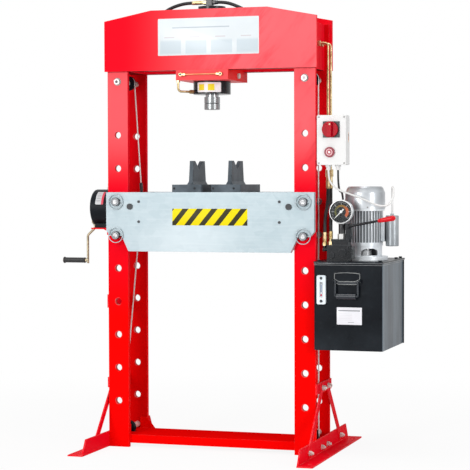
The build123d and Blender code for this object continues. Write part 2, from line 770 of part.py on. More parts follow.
# motor: bell with arched windows, finned body, cowl with an inlet grille, fan and coupling inside
axis = Pos(motor_x, motor_y, 0)
flange_top = lid_top + 17
bell = rod((0, 0, lid_top), (0, 0, flange_top), 200) + rod((0, 0, flange_top), (0, 0, motor_low), motor_dia)
bell -= rod((0, 0, lid_top), (0, 0, motor_low), motor_dia - 26)
window = block((-38, 38), (-motor_dia, motor_dia), (flange_top + 4, flange_top + 20))
window += Pos(0, 0, flange_top + 20) * scale(Rot(90, 0, 0) * Cylinder(38, 2 * motor_dia), (1, 1, 0.4))
bell -= Rot(0, 0, 30) * window
save("motor_bell", axis * bell)
fin_count = 36
fins = Part()
body = rod((0, 0, motor_low), (0, 0, motor_top - 12), motor_dia)
reach_out = motor_dia / 2 + fin_height
fin = block((motor_dia / 2 - 2, reach_out), (-1.6, 1.6), (motor_low + 14, motor_top - 12))
for k in range(fin_count):
    body += Rot(0, 0, 360 / fin_count * k + 5) * fin
body += rod((0, 0, motor_low), (0, 0, motor_low + 14), 2 * reach_out)
cowl_wall = 2.5
cowl_in = cowl_dia - 2 * cowl_wall
body += rod((0, 0, motor_top - 12), (0, 0, motor_top + 6), cowl_in)
body -= rod((0, 0, motor_low), (0, 0, motor_top + 6), shaft_dia + 2 * rod_fit)
save("motor_body", axis * body)
cowl_low = motor_top - 4
cowl_r = cowl_dia / 2
cowl_line = [
    (cowl_r, cowl_low),
    (cowl_r, cowl_top - 27),
    (cowl_r - 9, cowl_top - 6),
    (cowl_r - 15, cowl_top),
    (0, cowl_top),
    (0, cowl_top - cowl_wall),
    (cowl_r - 16, cowl_top - cowl_wall),
    (cowl_r - 11.3, cowl_top - 7.2),
    (cowl_r - cowl_wall, cowl_top - 27.5),
    (cowl_r - cowl_wall, cowl_low),
]
cowl = revolve(Plane.XZ * make_face(Polyline(*cowl_line, close=True)), Axis.Z)
slot = block((16, 52), (-3, 3), (cowl_top - 8, cowl_top + 1))
for k in range(12):
    cowl -= Rot(0, 0, 30 * k) * slot
save("motor_cowl", axis * cowl)
fan_low = motor_top + 14
shaft = rod((0, 0, flange_top - 10), (0, 0, fan_low + 26), shaft_dia)
shaft += rod((0, 0, flange_top - 4), (0, 0, flange_top + 26), 62)
shaft += rod((0, 0, fan_low), (0, 0, fan_low + 24), 40)
blade = block((18, 70), (-1.5, 1.5), (fan_low + 2, fan_low + 34))
for k in range(7):
    shaft += Rot(0, 0, 360 / 7 * k) * blade
save("motor_shaft", axis * shaft)
side_x = motor_x + reach_out
box_mid = (motor_low + motor_top) / 2 - 12
can_root = motor_x + motor_dia / 2 - 12
cans = block((can_root, side_x + 14), (motor_y - 24, motor_y + 24), (box_mid - 52, box_mid + 52))
can_x = side_x + 14 + can_dia / 2
can_z = (box_mid - 73, box_mid + 62)
can = rod((can_x, motor_y, can_z[0]), (can_x, motor_y, can_z[1]), can_dia)
cans += fillet(can.edges().filter_by(GeomType.CIRCLE), 4)
can_gland = (can_x, motor_y, can_z[1])
cans += rod(can_gland, (can_x, motor_y, can_gland[2] + gland_long), cable_dia + 7)
term_x = motor_x - reach_out
cans += block((term_x - 30, term_x + 20), (motor_y - 30, motor_y + 30), (box_mid - 4, box_mid + 66))
term_gland = (term_x - 20, motor_y, box_mid + 66)
cans += rod(term_gland, (term_gland[0], motor_y, term_gland[2] + gland_long), cable_dia + 7)
cans -= axis * Pos(0, 0, box_mid) * Cylinder(reach_out + rod_fit, 2 * motor_dia)
save("motor_boxes", cans)

# valve block with the gauge and the hand lever
mid_y = sum(block_y) / 2
step_z = lid_top + 71
valve = block(block_x, block_y, (lid_top, step_z))
valve += block((gauge_x - 39, block_x[1] - 1), (mid_y - 25, mid_y + 25), (step_z, step_z + 25))
valve += block((block_x[1], block_x[1] + 15), (mid_y - 30, mid_y + 30), (lid_top + 12, step_z - 8))
valve += hexagon((block_x[0] + 21, block_y[0], lid_top + 26), (0, -1, 0), 26, 7)
valve += rod((block_x[0] + 70, block_y[0], lid_top + 38), (block_x[0] + 70, block_y[0] - 8, lid_top + 38), 34)
elbow_z = step_z - 20
elbow_x = block_x[0] - 18
valve += rod((block_x[0], mid_y, elbow_z), (elbow_x - 8, mid_y, elbow_z), 17)
valve += rod((elbow_x, mid_y, elbow_z - 8), (elbow_x, mid_y, elbow_z + 16), 17)
post_top = lever_pivot[1] + 12
post_y = (mid_y - 14, mid_y + 14)
post = block((lever_pivot[0] - 11, lever_pivot[0] + 11), post_y, (step_z + 25, post_top))
hub_long = 14
pivot_y = post_y[0] - side_gap - hub_long / 2
pin_end = post_y[0] - hub_long - 2 * side_gap
post += rod((lever_pivot[0], post_y[0], lever_pivot[1]), (lever_pivot[0], pin_end, lever_pivot[1]), 8)
post += rod((lever_pivot[0], pin_end, lever_pivot[1]), (lever_pivot[0], pin_end - 3, lever_pivot[1]), 14)
save("valve_block", valve + post)
pivot = (lever_pivot[0], pivot_y, lever_pivot[1])
grip_root = lever_long - 76
lever_line = [
    (0, 0),
    (6.5, 0),
    (5, grip_root),
    (7, grip_root),
    (9, grip_root + 14),
    (10.5, lever_long - 18),
    (8.5, lever_long - 5),
    (5, lever_long),
    (0, lever_long),
]
lever = Rot(90, 0, 0) * Cylinder(10, hub_long)
lever += Rot(0, 90, 0) * revolve(Plane.XZ * make_face(Polyline(*lever_line, close=True)), Axis.Z)
lever -= Rot(90, 0, 0) * Cylinder(4 + rod_fit, 2 * hub_long)
save("valve_lever", Pos(*pivot) * Rot(0, -lever_tilt, 0) * lever)

# pressure gauge: cup with a dial at its floor, stem below, pointer on a spindle
gauge_back = gauge_front + 42
gauge_in = gauge_dia - 12
dial_y = gauge_front + 9
cup = rod((gauge_x, gauge_front, gauge_z), (gauge_x, gauge_back, gauge_z), gauge_dia)
cup = fillet(cup.edges().filter_by(GeomType.CIRCLE), 2.5)
cup -= rod((gauge_x, gauge_front, gauge_z), (gauge_x, dial_y, gauge_z), gauge_in)
cup += rod((gauge_x, dial_y, gauge_z), (gauge_x, gauge_front + 4, gauge_z), 4)
stem_y = mid_y
cup += rod((gauge_x, stem_y, gauge_z - gauge_dia / 2 + 5), (gauge_x, stem_y, step_z + 41), 29)
cup += hexagon((gauge_x, stem_y, step_z + 25), (0, 0, 1), 33, 22)
save("pressure_gauge", cup)
aim = Rot(0, -135, 0)
needle_line = [(-3, -16), (3, -16), (1, 40), (-1, 40)]
needle = sheet(needle_line, -0.8, 0.8) + Rot(90, 0, 0) * Cylinder(6, 1.6)
needle -= Rot(90, 0, 0) * Cylinder(2 + rod_fit, 4)
save("gauge_pointer", Pos(gauge_x, dial_y - 2.5, gauge_z) * aim * needle)

# switch box on a bracket from the front right upright
plate_y = box_y[1]
bracket = block((leg_out, box_x[1] - 20), (plate_y, plate_y + 4), (box_z[0] + 20, box_z[1] - 20))
bracket += block((leg_out, leg_out + 4), (-face, plate_y), (box_z[0] + 20, box_z[1] - 20))
save("switch_bracket", bracket)
box = block(box_x, box_y, box_z)
box = fillet(box.edges().filter_by(Axis.Y), 5)
seam_y = box_y[0] + 22
box -= block((box_x[0] - 1, box_x[1] + 1), (seam_y, seam_y + 1.5), (box_z[0] - 1, box_z[1] + 1)) - block(
    (box_x[0] + 1.5, box_x[1] - 1.5), (seam_y, seam_y + 1.5), (box_z[0] + 1.5, box_z[1] - 1.5))
collar_z = button_at[1]
recess = 4 + button_travel + 2 * side_gap
box += tube((button_at[0], box_y[0], collar_z), (button_at[0], box_y[0] - 7, collar_z), button_dia + 11, button_dia)
box -= rod((button_at[0], box_y[0], collar_z), (button_at[0], box_y[0] + recess, collar_z), button_dia)
box_mid_y = sum(box_y) / 2
gland_x = (box_x[0] + 43, box_x[0] + 86)
gland_z = box_z[0] - 22
for x in gland_x:
    box += hexagon((x, box_mid_y, box_z[0]), (0, 0, -1), 24, 8)
    box += rod((x, box_mid_y, box_z[0] - 8), (x, box_mid_y, gland_z), 20)
knob_plate = (knob_at[0] - knob_dia / 2 + 2, knob_at[0] + knob_dia / 2 + 6)
box += block(knob_plate, (box_y[0], box_y[0] - 4), (knob_at[1] - knob_dia / 2, knob_at[1] + knob_dia / 2))
box += rod((knob_at[0], box_y[0] - 4, knob_at[1]), (knob_at[0], box_y[0] - 16, knob_at[1]), 12)
save("switch_box", box)
knob_y = box_y[0] - 4 - side_gap
knob = rod((knob_at[0], knob_y, knob_at[1]), (knob_at[0], knob_y - 10, knob_at[1]), knob_dia)
bar_half = knob_dia / 2 - 4
knob += block((knob_at[0] - 10, knob_at[0] + 10), (knob_y - 10, knob_y - 26), (knob_at[1] - bar_half, knob_at[1] + bar_half))
knob -= rod((knob_at[0], knob_y, knob_at[1]), (knob_at[0], knob_y - 13, knob_at[1]), 12 + 2 * rod_fit)
save("switch_knob", knob)
button_root = (button_at[0], box_y[0] + 4 + side_gap, button_at[1])
button = rod(button_root, (button_at[0], box_y[0] - 10, button_at[1]), button_dia - 2 * side_gap)
save("stop_button", fillet(button.edges().filter_by(GeomType.CIRCLE).sort_by(Axis.Y)[0], 3))

# brass pressure lines down the right side and their hose ends
pipes = Part()
nut_low = tube_low - 20
hose_top = nut_low - 53
for y in tube_y:
    pipes += bent([(end_out, y, tube_top), (tube_x, y, tube_top), (tube_x, y, tube_low)], 14, tube_dia)
    pipes += hexagon((end_out, y, tube_top), (1, 0, 0), 22, 12)
    pipes += rod((end_in - bulkhead_long, y, tube_top), (end_out, y, tube_top), tube_dia + 8)
    pipes += hexagon((tube_x, y, tube_low + 12), (0, 0, -1), 20, 32)
    pipes += rod((tube_x, y, nut_low), (tube_x, y, hose_top), hose_dia + 1)
low_a = Vector(elbow_x, mid_y, elbow_z + 16)
low_b = Vector(block_x[0] + 6.5, mid_y + 10, step_z)
for at in (low_a, low_b):
    pipes += hexagon(at, (0, 0, 1), 19, hose_nut)
    pipes += rod(at + Vector(0, 0, hose_nut), at + Vector(0, 0, hose_nut + hose_ferrule), hose_dia + 1)
save("pressure_pipes", pipes)

# hoses and cables, each meeting its fittings with a small gap
meet = 0.2
lower_end = hose_nut + hose_ferrule + meet
low_a += Vector(0, 0, lower_end)
low_b += Vector(0, 0, lower_end)
cord("hose_feed", drop_bend((tube_x, tube_y[0], hose_top - meet), low_a, 5), hose_dia)
cord("hose_back", drop_bend((tube_x, tube_y[1], hose_top - meet), low_b, 6), hose_dia)
cross_from = (hose_ends[1][0] + meet, 0, port_z)
cross_to = (end_in - bulkhead_long - meet, tube_y[0], tube_top)
cord("head_hose_right", route(cross_from, (170, 0, 0), cross_to, (170, 0, 0), 9), hose_dia)
loop_from = (hose_ends[0][0] - meet, 0, port_z)
loop_to = (elbow_end - meet, 0, elbow[2])
cord("head_hose_left", route(loop_from, (-250, 0, 0), loop_to, (200, 0, 0), 11), hose_dia)
gland_exit = gland_z - meet
term_exit = (*term_gland[:2], term_gland[2] + gland_long + meet)
cord("motor_cable", drop_bend((gland_x[1], box_mid_y, gland_exit), term_exit, 5), cable_dia)
control = [
    (gland_x[0], box_mid_y, gland_exit),
    (gland_x[0], box_mid_y, gland_exit - 33),
    (motor_x - 109, motor_y - 165, motor_top + 102),
    (motor_x - 82, motor_y - 158, motor_top + 81),
    (motor_x - 43, motor_y - 138, motor_top + 65),
    (motor_x, motor_y - 110, motor_top + 47),
    (motor_x + 46, motor_y - 98, motor_top + 26),
    (motor_x + 89, motor_y - 98, motor_top + 9),
    (motor_x + 127, motor_y - 102, motor_top + 13),
    (motor_x + 147, motor_y - 99, motor_top + 42),
    (motor_x + 146, motor_y - 81, motor_top + 76),
    (motor_x + 136, motor_y - 50, motor_top + 96),
    (motor_x + 125, motor_y - 18, motor_top + 83),
    (motor_x + 122, motor_y - 1, motor_top + 48),
    (can_gland[0], motor_y, motor_top + 12),
    (can_gland[0], motor_y, can_gland[2] + gland_long + meet),
]
cord("control_cable", [Vector(*p) for p in control], cable_dia)
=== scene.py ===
import bpy
import bmesh
import math
from functools import partialmethod
from mathutils import Matrix, Vector


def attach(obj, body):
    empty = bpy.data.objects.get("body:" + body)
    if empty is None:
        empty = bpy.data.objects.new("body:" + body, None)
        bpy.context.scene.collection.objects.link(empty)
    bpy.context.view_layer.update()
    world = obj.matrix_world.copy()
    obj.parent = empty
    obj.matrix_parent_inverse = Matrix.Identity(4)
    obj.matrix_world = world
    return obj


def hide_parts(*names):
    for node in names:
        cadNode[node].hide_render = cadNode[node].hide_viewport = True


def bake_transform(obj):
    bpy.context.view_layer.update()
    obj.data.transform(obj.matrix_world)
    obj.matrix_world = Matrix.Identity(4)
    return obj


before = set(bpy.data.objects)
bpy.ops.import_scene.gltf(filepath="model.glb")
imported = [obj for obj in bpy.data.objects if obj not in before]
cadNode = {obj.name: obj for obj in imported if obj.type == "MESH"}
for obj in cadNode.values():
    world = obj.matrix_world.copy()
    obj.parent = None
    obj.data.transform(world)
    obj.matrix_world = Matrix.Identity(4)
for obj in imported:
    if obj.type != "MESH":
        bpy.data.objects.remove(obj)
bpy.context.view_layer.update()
print("frame loaded:", len(cadNode), "nodes")


# an output socket that can be used in plain sums
class Wire:
    def __init__(self, paint, socket):
        self.paint = paint
        self.socket = socket

    def sum(self, operation, *values):
        feeds = dict(enumerate((self,) + values))
        return self.paint.node("ShaderNodeMath", {"operation": operation}, feeds)

    def flipped(self, operation, value):
        return self.paint.node("ShaderNodeMath", {"operation": operation}, {0: value, 1: self})

    __add__ = partialmethod(sum, "ADD")
    __radd__ = partialmethod(flipped, "ADD")
    __sub__ = partialmethod(sum, "SUBTRACT")
    __rsub__ = partialmethod(flipped, "SUBTRACT")
    __mul__ = partialmethod(sum, "MULTIPLY")
    __truediv__ = partialmethod(sum, "DIVIDE")
    __abs__ = partialmethod(sum, "ABSOLUTE")
    __gt__ = partialmethod(sum, "GREATER_THAN")
    __lt__ = partialmethod(sum, "LESS_THAN")
    largest = partialmethod(sum, "MAXIMUM")
    wrapped = partialmethod(sum, "FRACT")

    def reach(self, other):
        # distance from an axis, from the offsets in two directions
        return (self * self + other * other).sum("SQRT")

    def within(self, low, high):
        return (self > low) * (self < high)

    def ramp(self, low, high):
        # 0 below low, 1 above high, smooth between
        feeds = {"Value": self, "From Min": low, "From Max": high}
        return self.paint.node("ShaderNodeMapRange", {"interpolation_type": "SMOOTHSTEP"}, feeds)


# one material in the making, or the world
class Paint:
    def __init__(self, name, world=False):
        self.material = (bpy.data.worlds if world else bpy.data.materials).new(name)
        self.material.use_nodes = True
        self.tree = self.material.node_tree
        self.tree.nodes.clear()

    def node(self, kind, settings=None, feeds=None, out=0):
        made = self.tree.nodes.new(kind)
        for key, value in (settings or {}).items():
            setattr(made, key, value)
        for key, value in (feeds or {}).items():
            if isinstance(value, Wire):
                self.tree.links.new(value.socket, made.inputs[key])
            else:
                made.inputs[key].default_value = value
        return Wire(self, made.outputs[out])

    def outs(self, wire):
        # every output of the node that this wire comes from
        return [Wire(self, socket) for socket in wire.socket.node.outputs]

    def place(self):
        return self.node("ShaderNodeTexCoord", out="Object")

    def axes(self):
        return self.outs(self.node("ShaderNodeSeparateXYZ", feeds={0: self.place()}))

    # long smudges that run down to the left
    def slanted(self):
        feeds = {"Vector": self.place(), "Rotation": (0, -0.9, 0), "Scale": (2.6, 1.0, 0.5)}
        return self.node("ShaderNodeMapping", {"vector_type": "TEXTURE"}, feeds)

    # how far the surface looks along an axis
    def looks(self, axis, sign):
        facing = self.node("ShaderNodeTexCoord", out="Normal")
        return (self.node("ShaderNodeSeparateXYZ", feeds={0: facing}, out=axis) * sign).ramp(0.3, 0.6)

    def scaled(self, x, y, z):
        return self.node("ShaderNodeVectorMath", {"operation": "MULTIPLY"}, {0: self.place(), 1: (x, y, z)})

    def noise(self, scale, detail=3.0, rough=0.5, at=None):
        feeds = {"Scale": scale, "Detail": detail, "Roughness": rough, "Vector": at or self.place()}
        return self.node("ShaderNodeTexNoise", feeds=feeds)

    def mix(self, share, first, second):
        feeds = {0: share, 6: first, 7: second}
        for key in (6, 7):
            if not isinstance(feeds[key], Wire):
                feeds[key] = (*feeds[key], 1)
        return self.node("ShaderNodeMix", {"data_type": "RGBA"}, feeds, out=2)

    # lays a shade over the colour so far, where the mask is 1
    def over(self, mask, shade):
        self.colour = self.mix(mask, self.colour, shade)

    # marks gives pairs of a mask and its shade
    def marked(self, marks):
        for mask, shade in (marks(*self.axes()) if marks else ()):
            self.over(mask, shade)

    def corners(self, radius):
        # 1 along the sharp edges of a piece, 0 on its flats
        rounded = self.node("ShaderNodeBevel", {"samples": 4}, {"Radius": radius})
        flat = self.outs(self.node("ShaderNodeNewGeometry"))[1]
        dot = self.node("ShaderNodeVectorMath", {"operation": "DOT_PRODUCT"}, {0: rounded, 1: flat}, out="Value")
        return (1.0 - dot).ramp(0.01, 0.2)

    def bump(self, height, strength, distance, edge=0.0):
        feeds = {"Height": height, "Strength": strength, "Distance": distance}
        if edge:
            feeds["Normal"] = self.node("ShaderNodeBevel", {"samples": 4}, {"Radius": edge})
        return self.node("ShaderNodeBump", feeds=feeds)

    # relief holds what bump is given
    def done(self, rough, relief, metal=0.0, gloss=0.5, alpha=1.0):
        feeds = {"Base Color": self.colour, "Roughness": rough, "Metallic": metal, "Specular IOR Level": gloss,
                 "Alpha": alpha, "Normal": self.bump(*relief)}
        self.close(self.node("ShaderNodeBsdfPrincipled", feeds=feeds))
        return self.material

    # 1 in the picture, in mirror images and through the window, 0 for the light on the object
    def seen(self):
        path = self.node("ShaderNodeLightPath").socket.node.outputs
        seen = Wire(self, path["Is Camera Ray"])
        for other in ("Is Glossy Ray", "Is Transmission Ray"):
            seen = seen.largest(Wire(self, path[other]))
        return seen

    def close(self, shader, kind="ShaderNodeOutputMaterial"):
        out = self.tree.nodes.new(kind)
        self.tree.links.new(shader.socket, out.inputs["Surface"])


def shaded(colour, share):
    return tuple(c * share for c in colour)


# heights and the legs' middle line, where several finishes have their marks
frameLine = {"leg": 0.4365, "firstHole": 0.21, "holePitch": 0.15, "pins": 1.035, "pinStep": 0.075, "pulley": 1.65}


def fromLeg(x):
    return abs(x) - frameLine["leg"]


def fromPin(x, z):
    return fromLeg(x).reach(abs(z - frameLine["pins"]) - frameLine["pinStep"])


redPaint = {
    "shade": (0.90, 0.0015, 0.0010),
    "cooler": (0.88, 0.003, 0.016),
    "cloud": (0.62, 0.002, 0.004),
    "darker": (0.56, 0.0005, 0.001),
    "undersideShade": (0.13, 0.001, 0.002),
    "sheenTint": (0.95, 0.17, 0.19),
    "smudge": (0.70, 0.022, 0.040),
    "grime": (0.34, 0.02, 0.02),
    "foldWearAndHighlight": (0.95, 0.24, 0.24),
    "worn": (0.30, 0.26, 0.26),
}


def frameRed(name, sheen=None, holes=False, ripple=False, gloss=0.02, cool=0.0, foldWearAndHighlight=0.45, foldWidth=0.0016):
    p = Paint(name)
    x, y, z = p.axes()
    cloud = p.noise(2.6, 4.0, 0.55)
    grime = p.noise(34.0, 6.0, 0.65)
    shade = p.mix(z.ramp(0.55, 1.05) + cool, redPaint["shade"], redPaint["cooler"])
    p.colour = p.mix(cloud.ramp(0.7, 0.3) * 0.10, shade, redPaint["cloud"])
    # painted sheen: a pale haze of light over the faces that look to the front
    if sheen:
        p.over(sheen(x, y, z) * p.looks("Y", -1) * (0.72 + cloud * 0.5), redPaint["sheenTint"])
    smudge = p.noise(3.0, 6.0, 0.68, p.slanted()).ramp(0.48, 0.66)
    p.over(smudge * z.ramp(0.9, 1.3) * 0.62, redPaint["smudge"])
    # painted shade on the faces that look down, under the crown
    p.over(p.looks("Z", -1) * (z > 1.69) * 0.85, redPaint["undersideShade"])
    # painted shade: the rear uprights' front faces are darker
    if holes:
        p.over((y > 0.05) * p.looks("Y", -1) * 0.75, redPaint["darker"])
    p.over(grime.ramp(0.66, 0.8) * 0.10, redPaint["grime"])
    # pale edges: partly rubbed paint, partly painted highlight
    p.over(p.corners(foldWidth) * grime.ramp(0.30, 0.60) * foldWearAndHighlight, redPaint["foldWearAndHighlight"])
    if holes:
        rise = ((z - frameLine["firstHole"]) / frameLine["holePitch"] + 0.5).wrapped() - 0.5
        reach = fromLeg(x).reach(rise * frameLine["holePitch"])
        rubbed = (1.0 - reach.ramp(0.0152, 0.0185)) * grime.ramp(0.36, 0.6) * z.within(0.15, 1.45)
        p.over(rubbed * 0.55, redPaint["worn"])
    height, strength = (p.noise(260.0, 2.0, 0.4), 0.5) if ripple else (p.noise(420.0, 2.0), 0.10)
    return p.done(0.40 + cloud * 0.14, (height, strength, 0.0006, 0.0013), gloss=gloss)


zincPlate = {
    "low": (0.355, 0.445, 0.485),
    "high": (0.465, 0.550, 0.585),
    "scuff": (0.56, 0.62, 0.645),
    "grease": (0.26, 0.30, 0.32),
    "brightPatch": (0.66, 0.72, 0.75),
    "edge": (0.74, 0.80, 0.83),
}


def zincSheet(name):
    p = Paint(name)
    x, y, z = p.axes()
    cells = p.node("ShaderNodeTexVoronoi", {"feature": "F1"}, {"Vector": p.place(), "Scale": 30.0}, out="Color")
    spangle = p.node("ShaderNodeSeparateColor", feeds={0: cells})
    cloud = p.noise(5.0, 5.0, 0.6)
    streak = p.noise(6.0, 4.0, 0.55, p.scaled(1.0, 1.0, 14.0))
    fine = p.noise(60.0, 6.0, 0.7)
    p.colour = p.mix(spangle * 0.35 + cloud * 0.6, zincPlate["low"], zincPlate["high"])
    p.over(streak.ramp(0.45, 0.75) * 0.3, zincPlate["scuff"])
    # painted highlight: a pale patch low on the plates, a little left of the middle
    brightPatch = 1.0 - ((x + 0.10) * 0.5).reach(z - 0.93).ramp(0.02, 0.17)
    p.over(brightPatch * 0.40, zincPlate["brightPatch"])
    ring = fromPin(x, z).within(0.019, 0.040) * fine.ramp(0.46, 0.66)
    p.over(ring * 0.45, zincPlate["grease"])
    p.over(p.corners(0.0014) * 0.35, zincPlate["edge"])
    return p.done(0.40 + fine * 0.16, (streak + fine * 0.3, 0.10, 0.0008, 0.0011), metal=0.22)


# the nuts on the upper pulley axles get painted shade in the middle, darker on the left nut, and a painted shadow round
# the rim; the lower heads are red like the frame
def boltMarks(x, y, z):
    reach = fromLeg(x).reach(z - frameLine["pulley"])
    outside = abs(y) > 0.128
    middle = (reach < 0.0068) * outside
    rim = reach.within(0.0128, 0.0200) * outside
    painted = (z < 0.10) * (abs(fromLeg(x)) < 0.022) * (y < -0.12)
    return [(middle * (x < 0), (0.05, 0.03, 0.04)), (middle * (x > 0), (0.34, 0.30, 0.31)),
            (rim * 0.7, (0.10, 0.07, 0.08)), (painted, redPaint["shade"])]


# pin heads are dark round a bright middle, their pull rings pale
def pinMarks(x, y, z):
    reach = fromPin(x, z)
    return [(reach.within(0.0105, 0.0205), (0.030, 0.030, 0.036)),
            (reach.within(0.0125, 0.0165), (0.20, 0.21, 0.22)), (reach > 0.0205, (0.40, 0.47, 0.50))]


def brightZinc(name, tint=(0.52, 0.52, 0.51), darker=0.5, marks=None, edge=0.75, metal=0.8):
    p = Paint(name)
    cloud = p.noise(60.0, 5.0, 0.6)
    p.colour = p.mix(cloud.ramp(0.25, 0.75), shaded(tint, darker), tint)
    p.over(p.corners(0.0016) * edge, (0.045, 0.048, 0.052))
    p.marked(marks)
    return p.done(0.26 + cloud * 0.2, (p.noise(900.0), 0.12, 0.0003, 0.0006), metal=metal)


crossPiece = {"rod": (0.370, 1.089), "rodRadius": 0.0200, "plateFace": 0.1525, "eyeAside": 0.345, "eyeHalf": 0.0165,
              "sockets": (1.0265, 1.1505), "steel": ((0.34, 0.34, 0.33), (0.56, 0.56, 0.54)),
              "ends": ((0.016, 0.018, 0.021), (0.060, 0.064, 0.070)),
              "dark": ((0.020, 0.023, 0.027), (0.050, 0.054, 0.060))}


# the paint of the bed's cross pieces, with plated rods and dark ends outside the plates
def crossPieces(name):
    p = Paint(name)
    x, y, z = p.axes()
    cloud = p.noise(30.0, 5.0, 0.6)
    rodX, rodZ = crossPiece["rod"]
    low, high = crossPiece["sockets"]
    far = abs(x) > crossPiece["eyeAside"]
    onRod = (abs(x) - rodX).reach(z - rodZ) < crossPiece["rodRadius"]
    plated = onRod.largest((abs(y) < crossPiece["eyeHalf"]) * far)
    outside = abs(y) > crossPiece["plateFace"]
    sockets = far * (z > high).largest(z < low)
    p.colour = p.mix(cloud, shaded(redPaint["shade"], 0.72), shaded(redPaint["shade"], 0.9))
    for part, shades in ((plated, "steel"), (outside, "ends"), (sockets, "dark")):
        p.over(part, p.mix(cloud, *crossPiece[shades]))
    metal = plated * (1.0 - outside.largest(sockets)) * 0.7
    return p.done(0.34 + cloud * 0.2, (p.noise(500.0), 0.12, 0.0004, 0.0008), metal=metal, gloss=0.35)


castIron = {"low": (0.030, 0.043, 0.055), "high": (0.078, 0.100, 0.120), "rubbed": (0.16, 0.20, 0.235)}


def castGrey(name):
    p = Paint(name)
    cloud = p.noise(14.0, 5.0, 0.6)
    grit = p.noise(420.0, 4.0, 0.65)
    pits = p.noise(120.0, 3.0, 0.5)
    p.colour = p.mix(cloud.ramp(0.3, 0.75), castIron["low"], castIron["high"])
    p.over(p.corners(0.0022) * cloud.ramp(0.35, 0.6) * 0.7, castIron["rubbed"])
    return p.done(0.44 + grit * 0.2, (grit * 0.6 + pits * 0.6, 0.4, 0.0011, 0.0018), metal=0.25)


blackPaint = {"shade": (0.0055, 0.0075, 0.0105), "dust": (0.045, 0.050, 0.056)}


def blackCoat(name, rough=0.26, gloss=0.10, lighter=1.0, edgeWearAndHighlight=0.3):
    p = Paint(name)
    cloud = p.noise(5.0, 4.0, 0.6)
    peel = p.noise(380.0, 2.0)
    dust = p.noise(26.0, 6.0, 0.65).ramp(0.5, 0.8)
    shade = shaded(blackPaint["shade"], lighter)
    p.colour = p.mix(cloud, shade, shaded(shade, 1.8))
    p.over(dust * 0.30, blackPaint["dust"])
    # pale edges: partly rubbed paint, partly painted highlight
    p.over(p.corners(0.0013) * edgeWearAndHighlight, (0.16, 0.17, 0.18))
    return p.done(rough + cloud * 0.14, (peel, 0.14, 0.0006, 0.0016), gloss=gloss)


def tankPaint(name):
    p = Paint(name)
    x, y, z = p.axes()
    cloud = p.noise(4.0, 4.0, 0.6)
    streak = p.noise(9.0, 5.0, 0.6, p.scaled(1.0, 1.0, 0.10))
    dust = p.noise(26.0, 6.0, 0.65).ramp(0.5, 0.8)
    peel = p.noise(380.0, 2.0)
    p.colour = p.mix(cloud.ramp(0.3, 0.7), (0.003, 0.0045, 0.007), (0.010, 0.014, 0.019))
    p.over(dust * 0.25, (0.030, 0.035, 0.040))
    low = (1.0 - z.ramp(0.47, 0.62)) * 0.35
    p.over(low * cloud, (0.045, 0.056, 0.066))
    # painted light: the right side is lighter, with streaks of painted reflection
    side = x.within(0.7868, 0.7892)
    p.over(side, p.mix(streak.ramp(0.32, 0.66), (0.030, 0.042, 0.056), (0.105, 0.138, 0.168)))
    # pale edges: partly rubbed paint, partly painted highlight
    p.over(p.corners(0.0013) * 0.35, (0.17, 0.18, 0.19))
    return p.done(0.22 + cloud * 0.16, (peel, 0.14, 0.0006, 0.0016), gloss=0.10)


def polished(name, low, high, rough):
    p = Paint(name)
    rings = p.noise(900.0, 2.0, 0.5, p.scaled(0.02, 0.02, 1.0))
    smear = p.noise(40.0, 4.0, 0.6)
    p.colour = p.mix(rings * 0.7 + smear * 0.3, low, high)
    return p.done(rough + smear * 0.08, (rings, 0.05, 0.0002, 0.0008), metal=1.0)


goldPlating = {"low": (0.38, 0.27, 0.11), "high": (0.68, 0.55, 0.31), "edge": (0.92, 0.84, 0.58),
               "mirrored": (0.50, 0.08, 0.035), "dark": (0.012, 0.012, 0.014)}


def goldPlate(name, darkParts=None):
    p = Paint(name)
    cloud = p.noise(45.0, 4.0)
    p.colour = p.mix(cloud.ramp(0.3, 0.7), goldPlating["low"], goldPlating["high"])
    p.over(p.corners(0.0006) * 0.4, goldPlating["edge"])
    metal = 0.85
    if darkParts:
        # painted reflection of the red on the middle of the line
        p.over(lineMiddle(*p.axes()) * 0.75, goldPlating["mirrored"])
        dark = darkParts(*p.axes())
        p.over(dark, goldPlating["dark"])
        metal = (1.0 - dark) * 0.85
    return p.done(0.22 + cloud * 0.16, (p.noise(700.0), 0.08, 0.0003, 0.0006), metal=metal)


def hoseBlack(name):
    p = Paint(name)
    wrap = p.noise(800.0, 2.0)
    brightPatch = p.noise(20.0, 5.0, 0.6)
    p.colour = p.mix(wrap * 0.5 + brightPatch * 0.5, (0.007, 0.007, 0.008), (0.026, 0.026, 0.028))
    return p.done(0.40 + wrap * 0.2, (wrap, 0.3, 0.0004), gloss=0.3)


def sheathing(name, shade):
    p = Paint(name)
    grain = p.noise(600.0, 2.0)
    p.colour = p.mix(grain, shaded(shade, 0.88), shade)
    return p.done(0.36 + grain * 0.12, (grain, 0.12, 0.0003))


def mouldedPlastic(name, shade, rough=0.34, gloss=0.5, marks=None):
    p = Paint(name)
    grain = p.noise(1100.0, 2.0)
    cloud = p.noise(9.0)
    p.colour = p.mix(cloud.ramp(0.3, 0.7), shaded(shade, 0.95), shade)
    p.marked(marks)
    return p.done(rough + grain * 0.1, (grain, 0.08, 0.0003, 0.0008), gloss=gloss)


motorShape = {"axis": (0.664, 0.050), "finRoot": 0.0764, "finLow": 0.9312, "finHigh": 1.0758, "bellInside": 0.0628}


# painted shade between the fins and inside the bell
def motorMarks(x, y, z):
    reach = (x - motorShape["axis"][0]).reach(y - motorShape["axis"][1])
    roots = (reach < motorShape["finRoot"]) * z.within(motorShape["finLow"], motorShape["finHigh"])
    inside = (reach < motorShape["bellInside"]) * z.within(0.85, 0.9168)
    return [(roots.largest(inside), (0.16, 0.175, 0.19))]


